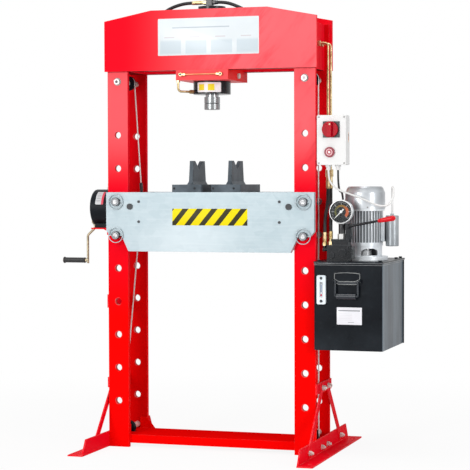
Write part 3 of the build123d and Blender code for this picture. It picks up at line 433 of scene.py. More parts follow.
# painted shade on the cowl's domed top and on its left and right sides
def cowlMarks(x, y, z):
    top = z.ramp(1.155, 1.172)
    left = 1.0 - x.ramp(0.578, 0.612)
    right = x.ramp(0.722, 0.748)
    return [(top * 0.34 + left * 0.24 + right * 0.30, (0.12, 0.125, 0.13))]


def castSilver(name, low, high, metal, marks=None):
    p = Paint(name)
    cloud = p.noise(10.0, 4.0)
    grit = p.noise(800.0, 3.0, 0.6)
    p.colour = p.mix(cloud.ramp(0.3, 0.7), low, high)
    p.over(p.corners(0.0007) * 0.35, (0.80, 0.83, 0.86))
    p.marked(marks)
    return p.done(0.26 + grit * 0.14, (grit, 0.15, 0.0004, 0.0008), metal=metal)


def twistedWire(name):
    p = Paint(name)
    x, y, z = p.axes()
    lay = abs((z * 260.0 + x * 120.0 + y * 120.0).wrapped() - 0.5)
    p.colour = p.mix(lay * 2.0, (0.46, 0.42, 0.41), (0.78, 0.72, 0.70))
    return p.done(0.35 + lay * 0.2, (lay, 0.4, 0.0006), metal=0.7)


# where a pale sheen of light is painted: high on the uprights, to the right on the crown
def legSheen(x, y, z):
    return z.ramp(1.15, 1.46) * (0.60 + x.ramp(-0.3, 0.3) * 0.14) * (y < 0)


def crownSheen(x, y, z):
    return x.ramp(-0.42, 0.20) * 0.80 * (y < 0)


# the middle of the line across the carriage gets a painted reflection of the red around it
def lineMiddle(x, y, z):
    return x.within(-0.104, 0.040) * z.within(1.6695, 1.6800) * (y < -0.143)


def darkFittings(x, y, z):
    rise = z - 1.6748
    pair = ((x + 0.126).reach(rise) < 0.0058).largest((x - 0.060).reach(rise) < 0.0058)
    crownEnd = (x > -0.0265) * (z > 1.985)
    return (pair * (y < -0.143)).largest(crownEnd)


# the lever: black bar, red grip beyond 137 mm from its pin
def leverMarks(x, y, z):
    along = (x - 0.627) * 0.9833 + (z - 1.004) * 0.1822
    return [(along > 0.137, (0.70, 0.004, 0.010))]


# x and z of two round parts, in millimetres
dialCentre = (597, 1068)
buttonCentre = (554, 1326)


def fromCentre(centre, x, z):
    return (x - centre[0] / 1000).reach(z - centre[1] / 1000)


def switchMarks(x, y, z):
    panel = x.within(0.5240, 0.5990) * z.within(1.3885, 1.4595) * (y < -0.1502)
    collar = (fromCentre(buttonCentre, x, z) < 0.0232) * (y < -0.1502)
    seam = y.within(-0.1366, -0.1356)
    return [(panel, (0.010, 0.010, 0.012)), (collar, (0.26, 0.010, 0.030)), (seam * 0.5, (0.36, 0.36, 0.35))]


def knobMarks(x, y, z):
    return [(x.within(0.5575, 0.5640) * z.within(1.4425, 1.4500) * (y < -0.165), (0.70, 0.52, 0.36))]


def buttonMarks(x, y, z):
    reach = fromCentre(buttonCentre, x, z)
    return [(reach.within(0.0108, 0.0152), (0.72, 0.42, 0.45)), (reach < 0.0052, (0.84, 0.72, 0.73))]


# a pale sheen of light is painted on the carriage's front, its bolt head on the right is bare metal
def carriagePaint(name):
    p = Paint(name)
    x, y, z = p.axes()
    cloud = p.noise(2.6, 4.0, 0.55)
    bolt = x > 0.0923
    sheen = (0.52 - (x > 0.0905) * 0.46) * (0.72 + cloud * 0.5)
    p.colour = p.mix(cloud.ramp(0.3, 0.7), shaded(redPaint["shade"], 0.92), redPaint["shade"])
    p.over(sheen, redPaint["sheenTint"])
    p.over(p.corners(0.0016) * 0.3, (0.95, 0.30, 0.28))
    p.over(bolt, (0.62, 0.60, 0.57))
    return p.done(0.34 + cloud * 0.14, (p.noise(420.0, 2.0), 0.10, 0.0006, 0.0013), metal=bolt * 0.6, gloss=0.035)


# the gauge: silver nut, black stem and case, pale bezel
def gaugePaint(name):
    p = Paint(name)
    x, y, z = p.axes()
    nut = z < 0.9725
    bezel = (z > 1.0155) * (y < -0.1005) * (fromCentre(dialCentre, x, z) > 0.0484)
    cloud = p.noise(20.0, 4.0)
    p.colour = p.mix(cloud, (0.010, 0.010, 0.011), (0.020, 0.020, 0.022))
    p.over(nut, (0.42, 0.42, 0.41))
    p.over(bezel, (0.70, 0.71, 0.72))
    return p.done(0.24 + cloud * 0.14, (p.noise(600.0), 0.08, 0.0003, 0.0008), metal=(nut + bezel) * 0.55)


# these are used again on pieces of this script
redWeld = frameRed("painted weld", sheen=legSheen, ripple=True)
lineBlack = blackCoat("glossy black", rough=0.16, gloss=0.5, lighter=1.6, edgeWearAndHighlight=1.0)
gold = goldPlate("gold plated steel")
rubber = hoseBlack("hose rubber")
blackCable = sheathing("black cable", (0.020, 0.020, 0.022))
whiteCable = sheathing("white cable", (0.80, 0.80, 0.79))
wire = twistedWire("steel wire rope")

# each finish of the solids, and the nodes that have it
finishes = (
    (frameRed("beam red", gloss=0.0), "floor_beam"),
    (frameRed("frame red"), "crown_inner winch_shelf switch_bracket"),
    (frameRed("foot red", gloss=0.01, cool=1.0, foldWearAndHighlight=1.0, foldWidth=0.0034), "foot_left foot_right foot_braces"),
    (frameRed("upright red", sheen=legSheen, holes=True, gloss=0.008),
     "upright_front_left upright_front_right upright_rear_left upright_rear_right"),
    (frameRed("crown red", sheen=crownSheen), "crown_plate_front crown_plate_rear"),
    (carriagePaint("carriage red"), "head_carriage"),
    (zincSheet("galvanised sheet"), "bed_plate_front bed_plate_rear"),
    (crossPieces("bed cross pieces"), "bed_ties"),
    (brightZinc("bright zinc", (0.86, 0.84, 0.79), 0.6, boltMarks, 0.6, 0.25), "frame_bolts"),
    (brightZinc("pin zinc", (0.60, 0.61, 0.62), 0.25, pinMarks, 0.5, 0.5),
     "pin_upper_left pin_upper_right pin_lower_left pin_lower_right"),
    (brightZinc("yellow passivated zinc", (0.56, 0.48, 0.33)), "winch_crank"),
    (castGrey("grey casting"), "vee_block_left vee_block_right"),
    (blackCoat("valve black", rough=0.16, gloss=0.22, lighter=0.6, edgeWearAndHighlight=1.0), "valve_block"),
    (blackCoat("black coat"),
     "pulley_upper_left pulley_upper_right pulley_lower_left pulley_lower_right tank_lid"),
    (tankPaint("tank black"), "tank"),
    (lineBlack, "tank_handle"),
    (blackCoat("winch black", rough=0.36, gloss=0.12, lighter=0.8, edgeWearAndHighlight=0.25), "winch_case"),
    (blackCoat("cylinder black", rough=0.17, gloss=0.34, lighter=0.5, edgeWearAndHighlight=0.25), "cylinder"),
    (polished("hard chrome", (0.26, 0.27, 0.28), (0.40, 0.41, 0.42), 0.10), "ram_rod"),
    (polished("ground steel", (0.20, 0.21, 0.215), (0.34, 0.355, 0.36), 0.24), "ram_nose"),
    (gold, "pressure_pipes"),
    (goldPlate("gold and black fittings", darkFittings), "head_lines"),
    (mouldedPlastic("black grip", (0.012, 0.012, 0.013), 0.4), "winch_grip"),
    (gaugePaint("gauge case"), "pressure_gauge"),
    (mouldedPlastic("needle white", (0.82, 0.82, 0.80), 0.3), "gauge_pointer"),
    (mouldedPlastic("switch box grey-white", (0.75, 0.75, 0.745), 0.34, 0.5, switchMarks), "switch_box"),
    (mouldedPlastic("knob red", (0.44, 0.001, 0.012), 0.20, 0.10, knobMarks), "switch_knob"),
    (mouldedPlastic("button red", (0.34, 0.006, 0.020), 0.26, 0.5, buttonMarks), "stop_button"),
    (mouldedPlastic("lever black and red", (0.008, 0.008, 0.010), 0.20, 0.22, leverMarks), "valve_lever"),
    (castSilver("cast aluminium", (0.22, 0.24, 0.26), (0.37, 0.40, 0.42), 0.6), "motor_boxes"),
    (castSilver("motor casting", (0.62, 0.66, 0.70), (0.84, 0.88, 0.91), 0.30, motorMarks), "motor_body motor_bell"),
    (castSilver("coupling", (0.66, 0.68, 0.70), (0.84, 0.86, 0.88), 0.2), "motor_shaft"),
    (castSilver("cowl sheet", (0.52, 0.55, 0.58), (0.68, 0.71, 0.74), 0.7, cowlMarks), "motor_cowl"),
    (castSilver("sight gauge body", (0.52, 0.58, 0.62), (0.68, 0.73, 0.77), 0.3), "sight_gauge"),
    (wire, "rope_runs"),
)
for finish, names in finishes:
    for name in names.split():
        mesh = cadNode[name].data
        mesh.materials.clear()
        mesh.materials.append(finish)
print("finishes set")


# camera at the photograph's place
shot = {"turn": 17.6008, "tilt": 1.8397, "roll": -0.1415, "distance": 7.5858,
        "target": (0.0787, -0.0074, 0.9599), "focalPixels": 1688.5, "framePixels": 470}


def addObject(name, data):
    made = bpy.data.objects.new(name, data)
    bpy.context.scene.collection.objects.link(made)
    return made


def makeCamera():
    turn, tilt, roll = (math.radians(shot[k]) for k in ("turn", "tilt", "roll"))
    back = Vector((math.sin(turn) * math.cos(tilt), -math.cos(turn) * math.cos(tilt), math.sin(tilt)))
    across = Vector((math.cos(turn), math.sin(turn), 0))
    up = back.cross(across)
    level = across * math.cos(roll) + up * math.sin(roll)
    head = up * math.cos(roll) - across * math.sin(roll)
    lens = bpy.data.cameras.new("camera")
    lens.sensor_width = 36
    lens.lens = shot["focalPixels"] / shot["framePixels"] * lens.sensor_width
    camera = addObject("camera", lens)
    axes = Matrix((level, head, back)).transposed().to_4x4()
    camera.matrix_world = Matrix.Translation(Vector(shot["target"]) + back * shot["distance"]) @ axes
    bpy.context.scene.camera = camera


makeCamera()

toRight, toLeft = (1, 0, 0), (-1, 0, 0)
toBack, toFront = (0, 1, 0), (0, -1, 0)
toTop, toBottom = (0, 0, 1), (0, 0, -1)


def metres(point):
    return Vector(v / 1000 for v in point)


def routeCurve(name, points):
    curve = bpy.data.curves.new(name, "CURVE")
    curve.dimensions = "3D"
    curve.resolution_u = 8
    spline = curve.splines.new("NURBS")
    spline.points.add(len(points) - 1)
    for point, place in zip(spline.points, points):
        point.co = (*metres(place), 1)
    spline.order_u = 3
    spline.use_endpoint_u = True
    return curve


# the mesh of a curve or text, which is used up
def asMesh(curve):
    holder = addObject("holder", curve)
    mesh = bpy.data.meshes.new_from_object(holder)
    bpy.data.objects.remove(holder)
    bpy.data.curves.remove(curve)
    return mesh


# the points of the smooth line itself, read from the curve
def routeLine(points):
    mesh = asMesh(routeCurve("route", points))
    line = [v.co.copy() for v in mesh.vertices]
    bpy.data.meshes.remove(mesh)
    return line


# the points with each run between them cut into equal parts
def divided(points, parts):
    line = [low.lerp(high, s / parts) for low, high in zip(points, points[1:]) for s in range(parts)]
    return line + [points[-1]]


# faces from each ring of points to the next; a ring of one point is a tip
def bridge(made, rings, capped=False):
    for low, high in zip(rings, rings[1:]):
        count = max(len(low), len(high))
        for k in range(count):
            n = (k + 1) % count
            if len(low) == 1:
                made.faces.new((low[0], high[k], high[n]))
            elif len(high) == 1:
                made.faces.new((low[k], low[n], high[0]))
            else:
                made.faces.new((low[k], low[n], high[n], high[k]))
    if capped:
        made.faces.new(rings[0])
        made.faces.new(rings[-1])


# one ring of points round a spot, on the plane of side and other
def ringAt(made, spot, side, other, sides, far):
    turns = [2 * math.pi * k / sides for k in range(sides)]
    return [made.verts.new(spot + (side * math.cos(a) + other * math.sin(a)) * far(a)) for a in turns]


# a tube along a line; reach(along, angle) is its radius there
def swept(made, line, reach, sides=8, closed=False):
    count = len(line)
    rings = []
    side = None
    along = 0.0
    for i, point in enumerate(line):
        before = line[i - 1] if i or closed else point
        after = line[(i + 1) % count] if i < count - 1 or closed else point
        way = (after - before).normalized()
        side = way.orthogonal() if side is None else side - way * side.dot(way)
        side.normalize()
        along += (point - line[i - 1]).length if i else 0.0
        rings.append(ringAt(made, point, side, way.cross(side), sides, lambda angle: reach(along, angle)))
    bridge(made, rings + rings[:1] if closed else rings, not closed)


# a turned piece: (radius, height) pairs spun about a line from centre along way
def spun(made, centre, way, profile, sides=24):
    centre = metres(centre)
    way = Vector(way).normalized()
    side = way.orthogonal().normalized()
    rings = []
    for radius, height in profile:
        spot = centre + way * height / 1000
        if radius == 0:
            rings.append([made.verts.new(spot)])
        else:
            rings.append(ringAt(made, spot, side, way.cross(side), sides, lambda angle: radius / 1000))
    bridge(made, rings)


def addMesh(name, made, finish, body, sharp=32):
    bmesh.ops.recalc_face_normals(made, faces=made.faces)
    mesh = bpy.data.meshes.new(name)
    made.to_mesh(mesh)
    made.free()
    mesh.materials.append(finish)
    for face in mesh.polygons:
        face.use_smooth = True
    mesh.set_sharp_from_angle(angle=math.radians(sharp))
    piece = addObject(name, mesh)
    if body:
        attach(piece, body)
    return piece


def turnedPiece(name, spots, profile, finish, body, sides=24, sharp=32):
    made = bmesh.new()
    for place, way in spots:
        spun(made, place, way, profile, sides)
    return addMesh(name, made, finish, body, sharp)


def tubePiece(name, lines, reach, finish, body, sides=8, closed=False, sharp=60):
    made = bmesh.new()
    for line in lines:
        swept(made, line, reach, sides, closed)
    return addMesh(name, made, finish, body, sharp)


# hoses and cables, each a free line on its own smooth route, in place of its solid
hose = {"diameter": 0.015, "finish": rubber, "slot": "hose_rubber", "stiffness": "stiff"}
lead = {"diameter": 0.009, "body": "frame"}
cords = {
    "hose_feed_rubber": {
        **hose, "body": "frame", "length": 0.226, "solid": "hose_feed",
        "points": [(510, -8, 1167.8), (510, -8, 1142.6), (510.7, -14.6, 1118.2), (512.1, -27.4, 1096.6),
                   (514.1, -45.5, 1079), (516.4, -67.5, 1067), (518.4, -85.6, 1049.4),
                   (519.8, -98.4, 1027.8), (520.5, -105, 1003.4), (520.5, -105, 978.2)],
    },
    "hose_back_rubber": {
        **hose, "body": "frame", "length": 0.258, "solid": "hose_back",
        "points": [(510, 42, 1167.8), (510, 42, 1144.2), (511.7, 35.5, 1121.5), (514.8, 23.1, 1101.7),
                   (519.3, 5.7, 1086.3), (524.6, -15.2, 1076.6), (530.4, -37.8, 1073.4),
                   (535.7, -58.7, 1063.7), (540.2, -76.1, 1048.3), (543.3, -88.5, 1028.5),
                   (545, -95, 1005.8), (545, -95, 982.2)],
    },
    "head_hose_left_rubber": {
        **hose, "body": "head", "length": 0.477, "solid": "head_hose_left",
        "points": [(-122.2, 0, 2005), (-150.6, 0, 2005), (-197.5, 0, 1995.6), (-241.3, 0, 1978.4),
                   (-279.9, 0, 1950.5), (-307.5, 0, 1913.7), (-321.3, 0, 1868.1), (-316.7, 0, 1821.1),
                   (-293.7, 0, 1780.6), (-255.9, 0, 1752.6), (-210.6, 0, 1737.3), (-182.2, 0, 1737.3)],
    },
    "motor_lead": {
        **lead, "finish": blackCable, "slot": "black_plastic", "length": 0.289, "stiffness": "medium",
        "solid": "motor_cable",
        "points": [(583, -117, 1248.8), (583, -117, 1216.3), (581.6, -104, 1186.5), (579, -80.2, 1164.5),
                   (575.7, -49.6, 1153.9), (572.3, -17.4, 1156.6), (569, 13.2, 1146), (566.4, 37, 1124),
                   (565, 50, 1094.2), (565, 50, 1061.7)],
    },
    "control_lead": {
        **lead, "finish": whiteCable, "slot": "white_plastic", "length": 0.587, "stiffness": "limp",
        "solid": "control_cable",
        "points": [(540, -117, 1248.8), (540, -117, 1215.8), (555, -115, 1184), (582, -108, 1163), (621, -88, 1147),
                   (664, -60, 1129), (710, -48, 1108), (753, -48, 1091), (791, -52, 1095), (811, -49, 1124),
                   (810, -31, 1158), (800, 0, 1178), (789, 32, 1165), (786, 49, 1130), (786, 50, 1094),
                   (786, 50, 1057.7)],
    },
}
for name, about in cords.items():
    curve = routeCurve(name, about["points"])
    curve.bevel_depth = about["diameter"] / 2
    curve.bevel_resolution = 5
    curve.use_fill_caps = True
    curve.materials.append(about["finish"])
    piece = addObject(name, curve)
    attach(piece, about["body"])
    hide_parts(about["solid"])

# this one reaches from the sliding head to the fixed pipes
crossHose = {
    "length": 0.481,
    "diameter": hose["diameter"],
    "points": [(-1.8, 0, 2005), (33.4, 0, 2005), (89.6, -0.8, 1985.4), (140.8, -1.9, 1958), (189.4, -3.3, 1924.1),
               (236.1, -4.7, 1888.9), (284.7, -6.1, 1855), (335.9, -7.2, 1827.6), (392.1, -8, 1808), (427.3, -8, 1808)],
}
crossLine = routeLine(crossHose["points"])
crossRubber = tubePiece("head_hose_right_rubber", [crossLine], lambda along, angle: crossHose["diameter"] / 2,
                        rubber, None, 18)
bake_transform(crossRubber)
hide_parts("head_hose_right")
print("hoses and cables laid")

# wire ropes from the bed to the pulleys: six strands laid round each other
rope = {"radius": 0.003, "strands": 6, "pitch": 0.034, "groove": 0.20, "step": 0.003,
        "stretches": [((-406.6, 8, 1652.0), (-370, 8, 1089)), ((-466.4, -8, 73.8), (-370, -8, 1089)),
                      ((406.6, -8, 1652.0), (370, -8, 1089))],
        "socket": 104.0}


def ropeReach(along, angle):
    turn = angle - 2 * math.pi * along / rope["pitch"]
    lobe = abs(math.cos(turn * rope["strands"] / 2))
    return rope["radius"] * (1 - rope["groove"] + rope["groove"] * lobe)


for number, (top, anchor) in enumerate(rope["stretches"]):
    top, anchor = metres(top), metres(anchor)
    foot = anchor + (top - anchor).normalized() * rope["socket"] / 1000
    line = divided([foot, top], int((top - foot).length / rope["step"]))
    piece = tubePiece("rope_stretch_%d" % (number + 1), [line], ropeReach, wire, None, 24, sharp=80)
    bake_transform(piece)
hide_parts("rope_drops")
print("ropes laid")


def roundedOutline(width, height, radius, steps=6):
    points = []
    w, h = width / 2 - radius, height / 2 - radius
    for cx, cy, start in ((w, h, 0), (-w, h, 90), (-w, -h, 180), (w, -h, 270)):
        for i in range(steps + 1):
            a = math.radians(start + 90 * i / steps)
            points.append((cx + radius * math.cos(a), cy + radius * math.sin(a)))
    return points


# a plate with rounded corners and a soft rim, laid on a face
def platePiece(name, about, finish, body):
    made = bmesh.new()
    centre, right, up = (metres(about["centre"]), Vector(about["right"]), Vector(toTop))
    out = right.cross(up)
    width, height = about["size"]
    rise = about["rise"]
    rim = rise * 0.45
    rings = []
    for inset, lift in ((0, -0.15), (0, rise - rim), (rim * 0.35, rise - rim * 0.3), (rim, rise)):
        outline = roundedOutline(width - 2 * inset, height - 2 * inset, max(about["corner"] - inset, 0.05))
        rings.append([made.verts.new(centre + (right * u + up * v + out * lift) / 1000) for u, v in outline])
    bridge(made, rings, True)
    return addMesh(name, made, finish, body)


# a label bent round a cylinder; angles in degrees from the front towards up
def wrappedPlate(name, about, finish, body):
    made = bmesh.new()
    centre, axis, up = metres(about["centre"]), Vector(about["axis"]), Vector(about["up"])
    front = Vector(toFront)
    first, last = (math.radians(a) for a in about["turn"])
    low, high = (v / 1000 for v in about["along"])
    radius, rise, corner = (about[k] / 1000 for k in ("radius", "rise", "corner"))
    steps, parts, sunk = 28, 4, 0.0001
    layers = []
    for lift in (-sunk, rise):
        rows = []
        for i in range(steps + 1):
            turn = first + (last - first) * i / steps
            edge = min(turn - first, last - turn) * radius
            cut = corner - math.sqrt(corner * corner - (corner - edge) ** 2) if edge < corner else 0.0
            spoke = (front * math.cos(turn) + up * math.sin(turn)) * (radius + lift)
            places = [low + cut + (high - low - 2 * cut) * k / parts for k in range(parts + 1)]
            rows.append([made.verts.new(centre + axis * place + spoke) for place in places])
        layers.append(rows)
    # the quads aren't flat at the cut corners, so both sheets have the same order of corners
    for rows in layers:
        for a, b in zip(rows, rows[1:]):
            for k in range(parts):
                made.faces.new((a[k], a[k + 1], b[k + 1], b[k]))
    under, over = layers
    for k in range(parts):
        for end in (0, -1):
            made.faces.new((under[end][k], under[end][k + 1], over[end][k + 1], over[end][k]))
    for i in range(steps):
        for end in (0, -1):
            made.faces.new((under[i][end], under[i + 1][end], over[i + 1][end], over[i][end]))
    return addMesh(name, made, finish, body)


# printed film: a ground colour and the areas printed on it
def printedFilm(name, ground, areas, rough=0.30, gloss=0.5):
    p = Paint(name)
    cloud = p.noise(12.0, 4.0)
    p.colour = p.mix(cloud.ramp(0.3, 0.7), shaded(ground, 0.95), ground)
    p.marked(areas)
    scuff = p.noise(90.0, 6.0, 0.7).ramp(0.66, 0.8)
    p.over(scuff * 0.12, (0.45, 0.46, 0.47))
    return p.done(rough + cloud * 0.12, (scuff, 0.08, 0.0003), gloss=gloss)


def namePlatePrint(x, y, z):
    step = ((x + 0.2320) / 0.119).wrapped()
    blocks = step.within(0.06, 0.88) * z.ramp(1.764, 1.772) * (1.0 - z.ramp(1.818, 1.834))
    captions = step.within(0.22, 0.62) * z.within(1.8375, 1.8425)
    sky = z.ramp(1.84, 1.93)
    bar = x.within(-0.168, 0.098) * z.within(1.8800, 1.8850)
    return [(sky * 0.35, (0.66, 0.72, 0.76)), (blocks * 0.85, (0.53, 0.61, 0.66)), (captions * 0.6, (0.52, 0.44, 0.47)),
            (bar * 0.55, (0.24, 0.29, 0.36))]


def hazardPrint(x, y, z):
    slant = (x + 0.1127 - (z - 1.006) * 0.83) / 0.0677
    return [(slant.wrapped() < 0.42, (0.040, 0.036, 0.016))]


def cylinderPrint(x, y, z):
    first = abs(x + 0.053).largest(abs(z - 1.6210)) < 0.0135
    second = abs(x + 0.008).largest(abs(z - 1.6210)) < 0.0145
    return [(first, (0.80, 0.66, 0.010)), (second, (0.80, 0.68, 0.006))]


def tankLabelPrint(x, y, z):
    head = x.within(0.594, 0.690) * z.within(0.6395, 0.6440)
    lines = ((z * 150.0).wrapped() < 0.34) * z.within(0.598, 0.632) * x.within(0.598, 0.655)
    foot = x.within(0.636, 0.664) * z.within(0.5905, 0.5930)
    return [(head, (0.20, 0.21, 0.23)), (lines * 0.35, (0.50, 0.50, 0.52)), (foot * 0.8, (0.30, 0.30, 0.32))]


def winchLabelPrint(x, y, z):
    band = x > -0.5385
    bars = ((z * 90.0).wrapped() < 0.45) * z.within(1.105, 1.146) * x.within(-0.562, -0.543)
    return [(bars * 0.55, (0.30, 0.31, 0.33)), (band, (0.70, 0.05, 0.09))]


def sidePrint(x, y, z):
    return [(abs(z - 1.3915) < 0.0135, (0.62, 0.25, 0.12)), (abs(z - 1.400) < 0.0060, (0.30, 0.16, 0.10))]


# flat labels; right is the direction to the right along the face
namePlate = {"centre": (-1, -143, 1842), "right": toRight, "size": (470, 164), "corner": 4, "rise": 1.2}
platePiece("crown_name_plate", namePlate, printedFilm("name plate film", (0.69, 0.735, 0.76), namePlatePrint, 0.26),
           "frame")
hazardStrip = {"centre": (7, -152.3, 1043), "right": toRight, "size": (350, 74), "corner": 1.5, "rise": 0.5}
platePiece("bed_hazard_strip", hazardStrip, printedFilm("hazard film", (0.86, 0.70, 0.002), hazardPrint, 0.34, 0.12),
           "bed")
tankLabel = {"centre": (642.5, -157, 618.5), "right": toRight, "size": (111, 75), "corner": 2, "rise": 0.5}
platePiece("tank_label", tankLabel, printedFilm("tank label film", (0.80, 0.80, 0.84), tankLabelPrint), "frame")
sideSticker = {"centre": (626, -103, 1391.5), "right": toBack, "size": (11, 44), "corner": 1.5, "rise": 0.4}
platePiece("switch_side_sticker", sideSticker, printedFilm("side sticker film", (0.86, 0.62, 0.50), sidePrint),
           "frame")
cylinderLabel = {"centre": (-30, 0, 1621), "axis": toTop, "up": toRight, "turn": (-31.6, 46.6),
                 "along": (-22, 22), "radius": 84, "rise": 0.5, "corner": 3}
wrappedPlate("cylinder_label", cylinderLabel, printedFilm("cylinder label film", (0.84, 0.85, 0.86), cylinderPrint),
             "head")
winchLabel = {"centre": (-548, 0, 1081), "axis": toRight, "up": toTop, "turn": (11, 59),
              "along": (-19, 20), "radius": 84, "rise": 0.5, "corner": 3}
wrappedPlate("winch_label", winchLabel, printedFilm("winch label film", (0.62, 0.65, 0.66), winchLabelPrint), "frame")
print("labels on")


# pressure gauge: printed dial, raised ticks and numbers, hub cap and window
gauge = {
    "face": -119.0,
    "dial": [(0, -0.1), (45.6, -0.1), (45.6, 0.25), (45.2, 0.4), (0, 0.4)],
    "hubFace": -122.4,
    "hub": [(0, -0.2), (6.2, -0.2), (6.2, 1.0), (5.2, 1.9), (2.4, 2.2), (2.2, 1.7), (0, 1.7)],
    "windowFace": -126.2,
    "window": [(0, 0), (45.9, 0), (45.9, 0.8), (45.0, 1.2), (0, 1.5)],
    "start": 225, "sweep": 270, "steps": 30, "ticksPerNumber": 5, "numberReach": 33.5, "numberSize": 5.2,
    "mainTick": (36.5, 1.5), "tick": (39.0, 0.9), "tickEnd": 44.2, "tickRise": 0.15,
}


def dialPaint(name):
    p = Paint(name)
    x, y, z = p.axes()
    aside, rise = x - dialCentre[0] / 1000, z - dialCentre[1] / 1000
    turn = rise.sum("ARCTAN2", aside)  # 0 to the right, grows to the left over the top
    turn = turn + (turn < -1.5708) * (2 * math.pi)
    tint = p.mix(turn.ramp(0.2, 1.5), (0.56, 0.12, 0.04), (0.26, 0.15, 0.025))
    tint = p.mix(turn.ramp(1.6, 2.7), tint, (0.10, 0.10, 0.02))
    reach = aside.reach(rise)
    outer = 0.0300 + (1.0 - turn.ramp(0.3, 1.2)) * 0.0040
    band = (reach > 0.0215) * (reach < outer) * turn.within(-0.785, 3.927)
    cloud = p.noise(70.0, 4.0)
    p.colour = p.mix(cloud, (0.008, 0.009, 0.011), (0.018, 0.020, 0.022))
    p.over(band * 0.92, tint)
    return p.done(0.42 + cloud * 0.15, (cloud, 0.05, 0.0002), gloss=0.05)


def tickBar(made, centre, way, start, end, width, lift):
    side = Vector((way.z, 0, -way.x))
    out = Vector(toFront)
    corners = []
    for far in (start, end):
        for across in (-width / 2, width / 2):
            for up in (-0.1, lift):
                corners.append(made.verts.new(centre + (way * far + side * across + out * up) / 1000))
    a, b, c, d, e, f, g, h = corners
    for face in ((a, b, d, c), (e, f, h, g), (a, b, f, e), (c, d, h, g), (b, d, h, f), (a, c, g, e)):
        made.faces.new(face)


def numberMesh(made, words, centre, size):
    text = bpy.data.curves.new("number", "FONT")
    text.body = words
    text.size = size / 1000
    text.extrude = 0.00012
    text.align_x = "CENTER"
    text.align_y = "CENTER"
    mesh = asMesh(text)
    mesh.transform(Matrix.Translation(centre) @ Matrix.Rotation(math.radians(90), 4, "X"))
    made.from_mesh(mesh)
    bpy.data.meshes.remove(mesh)


# where a turned part of the gauge starts, and its way to the front
def dialSpot(face):
    return ((dialCentre[0], face, dialCentre[1]), toFront)


turnedPiece("gauge_dial", [dialSpot(gauge["face"])], gauge["dial"], dialPaint("gauge dial"), "frame",
            64)
made = bmesh.new()
dialFace = metres(dialSpot(gauge["face"] - 0.4)[0])
for k in range(gauge["steps"] + 1):
    angle = math.radians(gauge["start"] - gauge["sweep"] * k / gauge["steps"])
    way = Vector((math.cos(angle), 0, math.sin(angle)))
    main = k % gauge["ticksPerNumber"] == 0
    start, width = gauge["mainTick"] if main else gauge["tick"]
    tickBar(made, dialFace, way, start, gauge["tickEnd"], width, gauge["tickRise"])
    if main:
        number = str(10 * k // gauge["ticksPerNumber"])
        numberMesh(made, number, dialFace + way * gauge["numberReach"] / 1000, gauge["numberSize"])
addMesh("gauge_scale", made, mouldedPlastic("scale white", (0.78, 0.79, 0.79), 0.4), "frame")
turnedPiece("gauge_hub", [dialSpot(gauge["hubFace"])], gauge["hub"],
            castSilver("hub silver", (0.62, 0.64, 0.66), (0.76, 0.78, 0.80), 0.4), "needle")


def clearWindow(name):
    p = Paint(name)
    smear = p.noise(30.0, 4.0)
    p.colour = p.mix(smear, (0.80, 0.86, 0.88), (0.92, 0.95, 0.96))
    return p.done(0.05 + smear * 0.06, (smear, 0.05, 0.0002), alpha=0.012 + smear * 0.012)


turnedPiece("gauge_window", [dialSpot(gauge["windowFace"])], gauge["window"], clearWindow("gauge window"), "frame",
            64)

# the lever's grip swells towards its end; its start is measured from the lever's pin
leverGrip = {"pin": (627, -126.3, 1004), "turn": 10.5, "start": 140,
             "profile": [(7.0, 0), (8.2, 1.5), (9.4, 14), (10.6, 34), (12.0, 56), (12.3, 62), (11.6, 67), (9.6, 70.5),
                         (7.0, 72)]}
leverTurn = math.radians(leverGrip["turn"])
leverWay = Vector((math.cos(leverTurn), 0, math.sin(leverTurn)))
turnedPiece("lever_grip_sleeve", [(Vector(leverGrip["pin"]) + leverWay * leverGrip["start"], leverWay)],
            leverGrip["profile"], mouldedPlastic("grip red", (0.66, 0.002, 0.010), 0.22, 0.22), "lever",
            28, 50)
print("gauge made")


# tank: sight tube with its screws, the handle plate's rim and lip, the edges of lid and tank
def sightPaint(name):
    p = Paint(name)
    x, y, z = p.axes()
    middle = abs(x - 0.5205)
    cloud = p.noise(80.0, 3.0)
    p.colour = p.mix(cloud, (0.70, 0.76, 0.78), (0.82, 0.86, 0.87))
    p.over(z.within(0.7205, 0.7525) * (middle < 0.0016), (0.03, 0.10, 0.30))
    p.over(z.within(0.7030, 0.7125) * (middle < 0.0030), (0.62, 0.04, 0.10))
    p.over(z.ramp(0.7520, 0.7600) * 0.7, (0.10, 0.11, 0.12))
    return p.done(0.10 + cloud * 0.1, (cloud, 0.05, 0.0002))


sightTube = {"x": 520.5, "y": -166.6, "low": 699.0,
             "profile": [(0, 0), (3.0, 0), (3.8, 1.2), (3.8, 62.8), (3.0, 64), (0, 64)]}
turnedPiece("sight_tube", [((sightTube["x"], sightTube["y"], sightTube["low"]), toTop)], sightTube["profile"],
            sightPaint("sight tube"), "frame", 20)

# the upper screw is a hexagon, the lower one round
sightScrews = {"x": 520.5, "face": -171.0, "heights": ((781.5, 6), (682.0, 24)),
               "profile": [(0, 1.2), (2.6, 1.2), (2.9, 3.0), (5.4, 2.8), (6.4, 1.4), (6.5, -0.2), (0, -0.2)]}
made = bmesh.new()
for z, sides in sightScrews["heights"]:
    spun(made, (sightScrews["x"], sightScrews["face"], z), toFront, sightScrews["profile"], sides)
addMesh("sight_gauge_screws", made, blackCoat("screw black", 0.3, 0.5, 2.0, 0.6), "frame")

